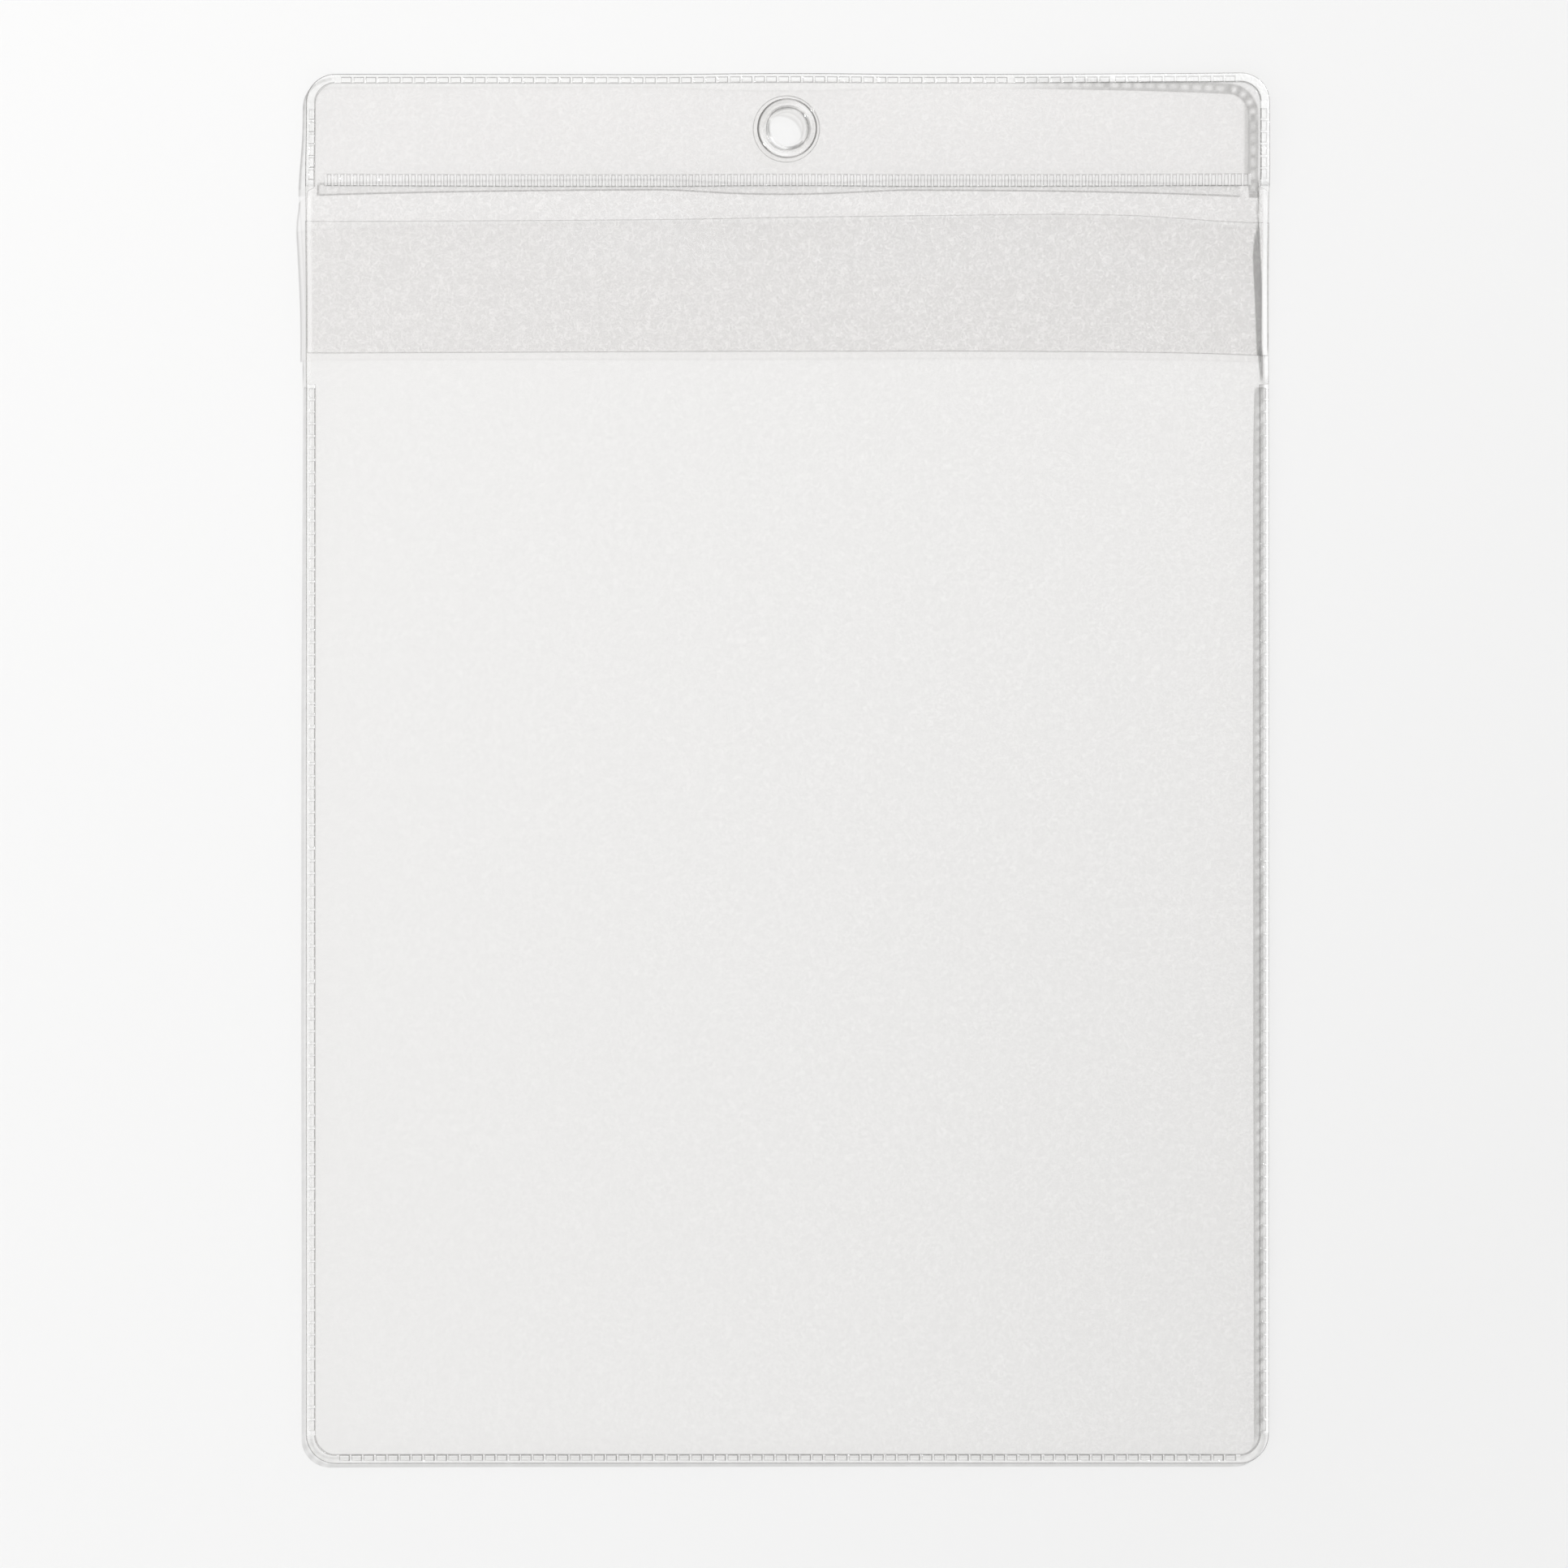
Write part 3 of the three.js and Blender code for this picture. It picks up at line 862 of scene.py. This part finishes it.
def header_film():
    """A rounded top of the header's width, the eyelet's hole, and the wider flap below the seam."""
    top = strip_high[2]
    rows = together(
        [flap_edge, flap_edge + cut_line, seam_bottom, top - cut_line, top],
        patch_lines,
        spaced(fold_end, seam_bottom, 0.3),
        spaced(panel_top, fold_end, 0.7),
        corner_rows(top, inner_radius, 1),
        spaced(flap_edge + cut_line, panel_top, 2.0),
        spaced(seam_bottom, top - inner_radius, film_pitch),
    )
    widths = round_width(rows, -np.inf, top, inner_radius, inner_half_width)
    widths += (flap_half_width - inner_half_width) * smoothstep(seam_bottom, seam_bottom - 1.5, rows)
    columns = film_columns(flap_half_width, film_pitch, patch_lines)
    flat, quads = pierced(*film_net(rows, widths, columns))
    x, z = flat.T
    cut = cut_weights(flat, quads)
    free = (x, z, flap_half_width, flap_edge - 6, seam_bottom)
    # edge: painted shade at the cut and in the fold, and the white strip's painted highlight
    edge = cut_grey * cut + (1 - cut) * painted_side_light(*free)
    shade = np.maximum(cut_shade * cut, side_shade(*free))
    by_weld = smoothstep(inner_half_width - 1.3, inner_half_width - 0.8, x) * (z > seam_top)
    shade = np.maximum(shade, beside_weld_shade * by_weld)
    shade += smoothed_shade * smoothstep(seam_bottom, seam_top, z)
    back = header_depth(z) + np.where(z < seam_bottom, flap_extra(x, z), 0)
    hem = through(flap_hem, x) * smoothstep(panel_top - 4, flap_edge, z)
    moved = np.stack([x, z + hem], axis=1)
    depths = (back + film_thickness, back)
    return closed_shell("header_film", moved, quads, *depths, edge, shade, header_vinyl, "clear_film")


header_piece = header_film()
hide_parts("header_strip", "flap_root", "flap")
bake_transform(header_piece)

# %% [markdown]
# ## The front panel
# The front panel is the same film again. Its upper edge is free and has crept into a shallow wave,
# its lip's sides are free as well, and below them it lies between the welds. The wave moves the
# net's rows instead of trimming them, so the fine row at the cut stays whole. Towards the bottom,
# and most at the right, the film takes a little more of the lamp's light.

# %% Front panel
panel_hem = [
    (-half_width, -1.2),
    (0, -0.1),
    (0.32 * half_width, 0.5),
    (0.72 * half_width, 0.4),
    (0.96 * half_width, -1.3),
    (half_width, -1.4),
]
lower_shade, lower_right_shade = 0.018, 0.02  # light taken at the bottom, and more at its right


def front_film():
    """Full width at the lip, the inner width between the welds, and round corners at the bottom."""
    bottom = bottom_edge + weld_width
    rows = together(
        [bottom, bottom + cut_line, side_weld_top, side_weld_top + cut_line],
        [panel_top - cut_line, panel_top],
        corner_rows(bottom, inner_radius, -1),
        spaced(bottom + inner_radius, side_weld_top, film_pitch),
        spaced(side_weld_top + cut_line, panel_top - cut_line, film_pitch),
    )
    widths = round_width(rows, bottom, np.inf, inner_radius, inner_half_width)
    widths[rows > side_weld_top + cut_line / 2] = half_width
    flat, quads = film_net(rows, widths, film_columns(half_width, film_pitch))
    x, z = flat.T
    cut = cut_weights(flat, quads)
    # edge: painted shade at the cut and in the fold, and the white strip's painted highlight
    edge = cut_grey * cut + (1 - cut) * painted_side_light(x, z, half_width, side_weld_top, flap_edge)
    shade = np.maximum(cut_shade * cut, side_shade(x, z, half_width, side_weld_top, flap_edge - 1))
    down = smoothstep(flap_edge, bottom_edge, z)
    shade += down * (lower_shade + lower_right_shade * smoothstep(0, half_width, x))
    back = panel_depth + lip_extra(x, z)
    hem = through(panel_hem, x) * smoothstep(panel_top - 16, panel_top, z)
    moved = np.stack([x, z + hem], axis=1)
    depths = (back + film_thickness, back)
    return closed_shell("front_film", moved, quads, *depths, edge, shade, front_vinyl, "clear_film")


front_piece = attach(front_film(), "pocket")
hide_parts("front_panel")

# %% [markdown]
# ## The welded bands
# The welding die melts two films into one band and presses a row of cells into it. Cells could be cut
# out one by one, but a band is simpler as one surface: a profile carried along the sheet's outline,
# pressed in where a cell is. Its two parameters are the way along the band and the way across it.
# The steep walls of a cell are what draws it, as thin grey lines of painted shade, and no two cells
# are alike.

# %% Cells along a stretch
cell_pitch = 2.9
cell_bar = 0.4
# The grey of a cell's sloped wall is painted shade.
cell_wall = 0.2  # width of a cell's sloped wall, which shows as a grey line
line_ease = 0.05  # how fast a grey line fades beside the wall
pitch_error = 0.02  # how far a cell is out of its place, in pitches
least_pressed, least_bright, least_grey = 0.7, 0.5, 0.6  # what the faintest cell has of each
rng = np.random.default_rng(7)


def ramp(value, stations):
    """Straight-line interpolation through (place, value) stations."""
    places, heights = np.array(stations).T
    return np.interp(value, places, heights)


def cell_places(length, pitch, bar, wall, margin, first, last):
    """Places along a straight stretch, how deep each is pressed, inside a cell or not, and its grey.

    Each cell has nine places: beside the wall, its top and foot, inside it, the middle, and the same
    again backwards. Cells fill the stretch between the margins, centred, each pressed a bit
    differently. first and last are the greys of the wall that is met first and of the other.
    """
    count = int((length - 2 * margin + bar) // pitch)
    half = (pitch - bar) / 2
    middles = length / 2 + (np.arange(count) - (count - 1) / 2) * pitch
    middles = middles + rng.uniform(-pitch_error, pitch_error, count) * pitch
    one_side = np.array([half + line_ease, half, half - wall, half - wall - line_ease])
    offsets = np.concatenate([-one_side, [0], one_side[::-1]])
    pressed = np.array([0, 0, 1, 1, 1, 1, 1, 0, 0]) * rng.uniform(least_pressed, 1, (count, 1))
    within = np.tile([0, 1, 1, 1, 1, 1, 1, 1, 0], (count, 1))
    bright = np.array([0, 0, 0.5, 0.6, 1, 0.6, 0.5, 0, 0]) * rng.uniform(least_bright, 1, (count, 1))
    # grey: the painted shade of each cell's walls
    grey = np.array([0, first, first, 0, 0, 0, last, last, 0]) * rng.uniform(least_grey, 1, (count, 1))
    places = (middles[:, None] + offsets).ravel()
    return tuple(np.concatenate([[0], row.ravel()]) for row in (places, pressed, within, bright, grey))


print(f"cells of {cell_pitch - cell_bar:.1f} mm, {cell_bar} mm apart")

# %% [markdown]
# ## Looks along the outline
# The lamp stands at the upper right, so each side of the sheet shows its cells in another way: dark
# with white rims on the right, hardly drawn at the top. These greys and whites are painted shade and
# painted highlights, set for each side to suit this one lamp. Eight materials could say so, but the
# look changes along one band. So a look holds the strengths of one side, and the rows of a stretch
# carry them to the points. Round a corner the band is smooth, because the die has no cells there.


# %% Looks and stretches
def side(
    outer, inner, first, last, cut, rim_shade, floor_shade, inner_shade, glare,
    inner_glare=None, between=0.0,
):
    """How one side of the sheet looks: the greys of its lines and the shades across it.

    outer and inner are a cell's lines along the band, first and last its walls across, and cut the
    sheet's own edge; their greys are painted shade. between is the share of the inner line that goes
    on between two cells. glare and inner_glare say how white the pressed plastic looks in its outer
    and inner half, a painted highlight, and below 0 how grey, a painted shade. The lamp's light is
    lost in the rounded rim (rim_shade) and at the step down to the film (inner_shade), and less
    between them (floor_shade), where each cell lets a spot through.
    """
    inner_glare = glare if inner_glare is None else inner_glare
    return {
        "lines": (outer, inner),
        "walls": (first, last),
        "between": between,
        "plain": (cut, glare, inner_glare, rim_shade, floor_shade, inner_shade),
    }


def straight(start, way, length, inward, look, style, margin=0.15):
    """A straight stretch of a band, one row a place: x, z, normal, pressing, greys and shades."""
    outer, inner = look["lines"]
    along, pressed, within, bright, grey = cell_places(length, *style, margin, *look["walls"])
    points = np.array(start) + along[:, None] * np.array(way)
    normals = np.tile(np.array(inward, float), (len(along), 1))
    plain = np.tile(look["plain"], (len(along), 1))
    inner_run = within + look["between"] * (1 - within)
    lines = np.stack([grey, outer * within, inner * inner_run], axis=1)
    return np.column_stack([points, normals, pressed, within, bright, lines, plain])


# the inner line's grey is painted shade
turn_line = 0.8  # strength of the inner line round a corner, beside the straight


def turn(centre, from_angle, look, steps=24):
    """A smooth quarter turn, clockwise, of the outer corner radius: centre + r (cos a, sin a)."""
    share = np.linspace(0, 1, steps + 1)[:-1, None]
    angle = np.radians(from_angle) - share * np.pi / 2
    ray = np.column_stack([np.cos(angle), np.sin(angle)])
    cells = share * corner_radius * np.pi / 2 / cell_pitch
    bright = 0.5 - 0.5 * np.cos(2 * np.pi * cells)
    pressed, within = np.zeros((steps, 1)), np.ones((steps, 1))
    lines = np.tile([0, 0, turn_line * look["lines"][1]], (steps, 1))
    plain = np.tile(look["plain"], (steps, 1))
    points = np.array(centre) + corner_radius * ray
    return np.column_stack([points, -ray, pressed, within, bright, lines, plain])


def last_point(place, inward, look):
    """The end of a band."""
    return np.array([[*place, *inward, 0, 1, 0, 0, 0, 0, *look["plain"]]], float)


# %% Band shells
shaded_line = 0.45  # width of the shaded lines at a band's rim and at its step
shade_ease = 0.12  # how fast they fade
rim = (0.12, 0.2)  # the cut's grey goes on this far, and has faded here
glare_change = (0.9, 1.3)  # from the outer half's glare to the inner one's
through_bars = 0.5  # share of the shade that is left at the bars between two cells
spot_clears = 0.4  # share of the shaded lines that a cell's spot of light takes away
spot_greys = 0.9  # and of the grey on the floor
cell_clears = 0.2  # share of the glare that is missing inside a cell
least_line = 0.01  # where a line is greyer than this, it hides the glare


def band_look(across, rows, reach, wall, width, step_line):
    """The edge and shade attributes of a band, as grids of places along and places across.

    Grey, a painted shade, lies on the walls of the cells and on the cut, and glare, a painted
    highlight, on the rest. Both shaded lines, at the rim and at the step, are broken at the bars
    between two cells, where the light comes through.
    """
    start, end = reach
    _, within, bright, grey, outer, inner, cut, glare, inner_glare, *shades = rows[:, 4:].T[:, :, None]
    between = ((across >= start) & (across <= end)) * 1.0
    outer_wall = ((across >= start) & (across <= start + wall)) * 1.0
    inner_wall = ((across >= end - wall) & (across <= end)) * 1.0
    at_cut = ramp(across, [(0, 1), (rim[0], 1), (rim[1], 0)])
    edge = np.maximum.reduce([grey * between, outer * outer_wall, inner * inner_wall, cut * at_cut])
    inside = ramp(across, [(glare_change[0], 0), (glare_change[1], 1)])
    white = glare + (inner_glare - glare) * inside
    white = np.where(white > 0, white * (1 - cell_clears * within), white * (1 - spot_greys * bright))
    edge = np.where(edge > least_line, edge, -white)
    at_rim = ramp(across, [(shaded_line, 1), (shaded_line + shade_ease, 0)])
    at_step = ramp(across, [(width - step_line - shade_ease, 0), (width - step_line, 1)])
    rim_shade, floor_shade, inner_shade = shades
    lines = rim_shade * at_rim + inner_shade * at_step
    lines = lines * (through_bars + (1 - through_bars) * within) * (1 - spot_clears * bright)
    return edge, lines + floor_shade * (1 - bright) * (1 - at_rim - at_step)


def band_shell(name, stretches, reach, wall, depth, heights, floor, step_line=shaded_line):
    """A closed band. Its front at (t, s) is height(s) - depth * pressed(t) * window(s).

    t runs along the band and s across it. The window is 0 outside the reach of the cells, 1 on
    their floor and a straight wall between.
    """
    start, end = reach
    width = heights[-1][0]
    steps = [start - line_ease, start, start + wall, start + wall + line_ease]
    steps += [(start + end) / 2, end - wall - line_ease, end - wall, end, end + line_ease]
    lines = [shaded_line, shaded_line + shade_ease, width - step_line - shade_ease, width - step_line]
    across = np.unique([0, *rim, *lines, *steps, width])
    window = ramp(across, [(start, 0), (start + wall, 1), (end - wall, 1), (end, 0)])
    rows = np.concatenate(stretches)
    points, normals, pressed = rows[:, :2], rows[:, 2:4], rows[:, 4:5]
    flat = (points[:, None] + normals[:, None] * across[None, :, None]).reshape(-1, 2)
    front = (ramp(across, heights) - depth * pressed * window).ravel()
    back = np.full(len(flat), floor)
    looks = [grid.ravel() for grid in band_look(across, rows, reach, wall, width, step_line)]
    quads = grid_quads(len(rows), len(across))
    return closed_shell(name, flat, quads, front, back, *looks, weld_vinyl, "welded_film")


print(f"a band's shaded lines are {shaded_line} mm wide")

# %% The looks of the sides
weld_style = (cell_pitch, cell_bar, cell_wall)
outer_x = half_width - corner_radius
outer_top = top_edge - corner_radius
outer_bottom = bottom_edge + corner_radius

# Each look: greys of painted shade, a glare of painted highlight, and shades of the lamp's light
header_left = side(0.12, 0.5, 0.6, 0.2, 0.5, 0.5, 0.08, 0.12, 0.45, between=0.8)
header_top = side(0.35, 0.3, 0.25, 0.4, 0.5, 0.08, 0.0, 0.02, 0.25)
header_top_right = side(0.2, 0.65, 0.12, 0.12, 0.35, 0.55, 0.45, 0.55, 0.8, between=0.5)
header_right = side(0.12, 0.65, 0.12, 0.12, 0.3, 0.6, 0.6, 0.6, 0.9)
pocket_right = side(0.1, 0.4, 0.15, 0.15, 0.2, 0.3, 0.55, 0.5, 0.85, inner_glare=-0.25)
pocket_bottom = side(0.2, 0.65, 0.7, 0.3, 0.35, 0.4, 0.08, 0.2, 0.2)
pocket_left = side(0.08, 0.5, 0.12, 0.15, 0.3, 0.3, 0.06, 0.1, 0.55, inner_glare=0.3)
pocket_turn = side(0.1, 0.55, 0.15, 0.15, 0.3, 0.35, 0.15, 0.3, 0.12)
# the mix into header_top_right also whitens the painted highlights and changes the painted shade lines
top_change = 54.0  # right of here the header comes off the wall, and its weld's shadow darkens
change_cells = 8  # cells over which it does
print(f"glare at the right {header_right['plain'][1]}, at the top {header_top['plain'][1]}")

# %% Header weld
cell_depth = 0.22
track = (0.7, 2.15)  # the cells' reach across the band
plain_end = 0.9  # plain stretch at each end, beside the seam


def weld_heights(top, film):
    """Heights across a weld: the rounded rim, the flat top and the step down to the film."""
    return [(0, 0.35 * top), (0.12, 0.8 * top), (0.4, top), (track[1], top), (weld_width, film + 0.02)]


def mixed(first, second, share):
    """A look between two others: (1 - share) * first + share * second."""
    return {key: (1 - share) * np.array(first[key]) + share * np.array(second[key]) for key in first}


def header_weld():
    """Up the left side from the seam, round, along the top, round, and down the right side."""
    rise = outer_top - seam_bottom
    dark_start = top_change + change_cells * cell_pitch
    rest = outer_x - dark_start
    stretches = [
        straight((-half_width, seam_bottom), (0, 1), rise, (1, 0), header_left, weld_style, plain_end),
        turn((-outer_x, outer_top), 180, header_left),
        straight((-outer_x, top_edge), (1, 0), outer_x + top_change, (0, -1), header_top, weld_style),
    ]
    for cell in range(change_cells):
        look = mixed(header_top, header_top_right, (cell + 0.5) / change_cells)
        place = (top_change + cell * cell_pitch, top_edge)
        stretches.append(straight(place, (1, 0), cell_pitch, (0, -1), look, weld_style))
    stretches += [
        straight((dark_start, top_edge), (1, 0), rest, (0, -1), header_top_right, weld_style),
        turn((outer_x, outer_top), 90, header_right),
        straight((half_width, outer_top), (0, -1), rise, (-1, 0), header_right, weld_style, plain_end),
        last_point((half_width, seam_bottom), (-1, 0), header_right),
    ]
    heights = weld_heights(header_band_depth, film_thickness)
    return band_shell("header_weld_band", stretches, track, cell_wall, cell_depth, heights, film_gap)


header_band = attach(header_weld(), "pocket")
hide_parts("header_weld")

# %% Pocket weld
mouth_end = 0.4  # plain stretch at the mouth


def pocket_weld():
    """Down the right side from the mouth, round, along the bottom, round, and up the left side."""
    fall = side_weld_top - outer_bottom
    ends = (weld_style, mouth_end)
    stretches = [
        straight((half_width, side_weld_top), (0, -1), fall, (-1, 0), pocket_right, *ends),
        turn((outer_x, outer_bottom), 0, pocket_turn),
        straight((outer_x, bottom_edge), (-1, 0), 2 * outer_x, (0, 1), pocket_bottom, weld_style),
        turn((-outer_x, outer_bottom), -90, pocket_turn),
        straight((-half_width, outer_bottom), (0, 1), fall, (1, 0), pocket_left, *ends),
        last_point((-half_width, side_weld_top), (1, 0), pocket_left),
    ]
    heights = weld_heights(pocket_band_depth, panel_depth + film_thickness)
    return band_shell("pocket_weld_band", stretches, track, cell_wall, cell_depth, heights, film_gap)


pocket_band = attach(pocket_weld(), "pocket")
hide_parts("pocket_weld")

# %% [markdown]
# ## The cross seam
# A straight die welds the header film to the back film across the whole width. Its cells are
# narrow and upright, half the pitch of the others. The film stands off the wall here, so the seam
# throws the strongest shadow of all: a thin dark line below it that also closes its left end.

# %% Cross seam
seam_style = (1.54, 0.49, 0.18)  # pitch, bar and wall of its cells
seam_margin = 0.1  # plain strip above and below the cells
seam_inset = 2.3  # the die ends this far inside the side welds
seam_half_width = inner_half_width - seam_inset
seam_end = 0.2
seam_end_shade = 0.8
seam_depth = 0.12
seam_step_line = 0.3
seam_look = side(0.22, 0.55, 0.25, 0.25, 0.08, 0.5, 0.1, 0.8, 0.45, between=0.3)


def cross_seam():
    """A straight band over the header film, with a finer row of cells."""
    height = seam_top - seam_bottom
    length = 2 * seam_half_width
    start, way, inward = (-seam_half_width, seam_top), (1, 0), (0, -1)
    run = straight(start, way, length, inward, seam_look, seam_style, seam_end)
    run[0, -2] = seam_end_shade
    stretches = [run, last_point((seam_half_width, seam_top), inward, seam_look)]
    film = film_thickness + 2 * film_gap
    top = header_band_depth + film_gap
    heights = [(0, film + 0.02), (0.12, top), (height - 0.1, top), (height, film + 0.02)]
    reach = (seam_margin, height - seam_margin)
    pressing = (reach, seam_style[2], seam_depth)
    return band_shell("cross_seam_band", stretches, *pressing, heights, film, seam_step_line)


seam_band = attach(cross_seam(), "pocket")
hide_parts("header_seam")

# %% [markdown]
# ## The eyelet
# The eyelet is moulded in two rings: a flange with a round bead at its mouth, whose barrel goes
# through the films, and a washer at the back, over which the barrel's end is rolled. Both are
# surfaces of revolution: a closed profile of radius and depth, turned in fine steps. Thick clear
# rings mirror and bend the room in crescents. Those that the eye sees are painted reflections and
# painted shade: soft strokes along the rings, grey or white, in the same attribute as the films'
# lines.

# %% Eyelet sizes and strokes
eyelet_low, eyelet_high = corners_mm("eyelet")
washer_high = corners_mm("eyelet_washer")[1]
bore_radius = 4.0
barrel_wall = 0.7
flange_radius = eyelet_high[0]
washer_radius = washer_high[0]
washer_rear = washer_high[1]
bead_radius = 0.775
flange_front = -eyelet_low[1] - bead_radius  # depth of the flange's face
lip_radius = eyelet_high[1] - washer_rear
# Painted shade and painted reflections on the eyelet's front, as strokes: radius, width, from and to
# angle (from the right, upwards), and grey, or white where it is below 0
painted_light_strokes = [
    (7.0, 0.6, -200, 160, 0.6),
    (7.0, 0.6, -60, 75, 0.6),
    (7.0, 0.6, 95, 240, 0.5),
    (6.3, 1.0, 70, 180, 0.14),
    (6.2, 0.7, -45, 20, 0.12),
    (5.15, 1.1, -40, 55, 0.5),
    (4.6, 0.5, -25, 60, 0.3),
    (5.05, 1.1, 55, 150, 0.46),
    (4.5, 0.5, 75, 135, 0.3),
    (4.9, 0.8, -95, -40, 0.7),
    (4.55, 0.2, -135, -60, 0.3),
    (4.7, 0.8, 155, 210, 0.6),
    (6.35, 0.8, 180, 320, -0.5),
    (6.2, 0.5, 20, 75, -0.5),
    (5.2, 1.0, 205, 265, -1.0),
    (5.7, 0.3, 0, 140, -0.5),
]
print(f"flange of {2 * flange_radius:.1f} mm, {len(painted_light_strokes)} strokes")

# %% Turned rings
turn_steps = 144
eyelet_lean = 0.17  # the eyelet has been pressed in a little askew, its rear to the left
ring_shade = 0.04  # share of its grey that also takes the lamp's light


def arc_points(centre_radius, centre_depth, radius, from_angle, to_angle, steps):
    """Profile points on an arc: (centre radius + r cos a, centre depth + r sin a), a in degrees."""
    angle = np.radians(np.linspace(from_angle, to_angle, steps))
    ray = np.stack([np.cos(angle), np.sin(angle)], axis=1)
    return np.array([centre_radius, centre_depth]) + radius * ray


def painted_light_greys(radius, angle):
    """Grey of the strokes at every angle and radius: painted shade, and below 0 white, painted
    reflection.

    Each swells to its middle and fades at its ends. Across, a stroke is full over its middle and fades
    to 0 beside it. Along, it follows the sine to the power 0.6, so that it has pointed ends.
    """
    total = np.zeros((len(angle), len(radius)))
    for middle, width, start, end, grey in painted_light_strokes:
        along = (np.degrees(angle)[:, None] - start) % 360 / (end - start)
        whole = end - start == 360
        swell = 1.0 if whole else np.sin(np.pi * np.clip(along, 0, 1)) ** 0.6
        total += grey * swell * np.clip(1.3 - np.abs(radius - middle) / (width / 2), 0, 1)
    return np.clip(total, -1, 1)


def turned(name, profile, strokes, grey, material):
    """A closed profile of (radius, depth) turned round the Y axis: (r cos a, -depth, r sin a).

    It leans: each point moves sideways by eyelet_lean times its depth behind the flange's face. grey
    is each profile point's own painted shade, and strokes says which points also show the strokes.
    """
    angle = np.linspace(0, 2 * np.pi, turn_steps, endpoint=False)
    radius, depth = profile.T
    count = len(profile)
    x = np.outer(np.cos(angle), radius) + eyelet_lean * (depth - flange_front)
    z = np.outer(np.sin(angle), radius)
    y = np.broadcast_to(-depth, x.shape)
    vertices = np.stack([x, y, z], axis=2).reshape(-1, 3)
    i, j = np.meshgrid(np.arange(turn_steps), np.arange(count), indexing="ij")
    ahead, beside = (i + 1) % turn_steps, (j + 1) % count
    corners = [i * count + j, ahead * count + j, ahead * count + beside, i * count + beside]
    faces = np.stack(corners, axis=2).reshape(-1, 4)
    edge = (grey + strokes * painted_light_greys(radius, angle)).ravel()
    shade = ring_shade * np.clip(edge, 0, 1)
    return shell_object(name, vertices, faces, edge, shade, material)


print(f"rings of {turn_steps} steps, {2 * np.pi * flange_radius / turn_steps:.2f} mm each")

# %% Flange and barrel
flange_edge = 0.25  # radius of the flange's rounded edge
face_pitch = 0.12  # fine rings on its face, so that the strokes are smooth


def eyelet_ring():
    """Barrel, rolled lip, bead, flange and its rounded edge, as one closed profile."""
    barrel = bore_radius + barrel_wall
    bead_outer = bore_radius + 2 * bead_radius
    rear = -washer_rear
    face = np.arange(bead_outer + 0.1, flange_radius - 0.3, face_pitch)
    edge_centre = (flange_radius - flange_edge, flange_front - flange_edge)
    profile = np.concatenate(
        [
            [[barrel, film_thickness], [barrel, rear]],
            arc_points(bore_radius + lip_radius, rear, lip_radius, 0, -180, 14)[1:],
            arc_points(bore_radius + bead_radius, flange_front, bead_radius, 180, 0, 24),
            np.stack([face, np.full(len(face), flange_front)], axis=1),
            arc_points(*edge_centre, flange_edge, 90, 0, 6),
            [[flange_radius, film_thickness], [flange_radius - 0.35, film_thickness]],
            [[barrel + 0.3, film_thickness]],
        ]
    )[::-1]
    in_front = profile[:, 1] > film_thickness + 0.02
    return turned("eyelet_ring", profile, in_front, 0.0, eyelet_acetate)


eyelet_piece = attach(eyelet_ring(), "pocket")
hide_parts("eyelet")


# %% Washer
def washer_ring():
    """A ring with a bevelled edge that rises towards the rolled lip."""
    inner = bore_radius + barrel_wall + 0.3
    film_rear = -film_thickness
    profile = np.array(
        [
            [inner, film_rear],
            [inner, -washer_rear],
            [inner + 1.2, -washer_rear],
            [washer_radius - 0.3, film_rear - 0.7],
            [washer_radius - 0.08, film_rear - 0.6],
            [washer_radius, film_rear - 0.4],
            [washer_radius, film_rear],
            [washer_radius - 0.3, film_rear],
        ]
    )
    # A grey line at the washer's edge: painted shade.
    grey = ramp(profile[:, 0], [(washer_radius - 0.2, 0.0), (washer_radius - 0.1, 0.4)])
    return turned("washer_ring", profile, 0.0, grey, eyelet_acetate)


washer_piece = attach(washer_ring(), "pocket")
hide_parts("eyelet_washer")
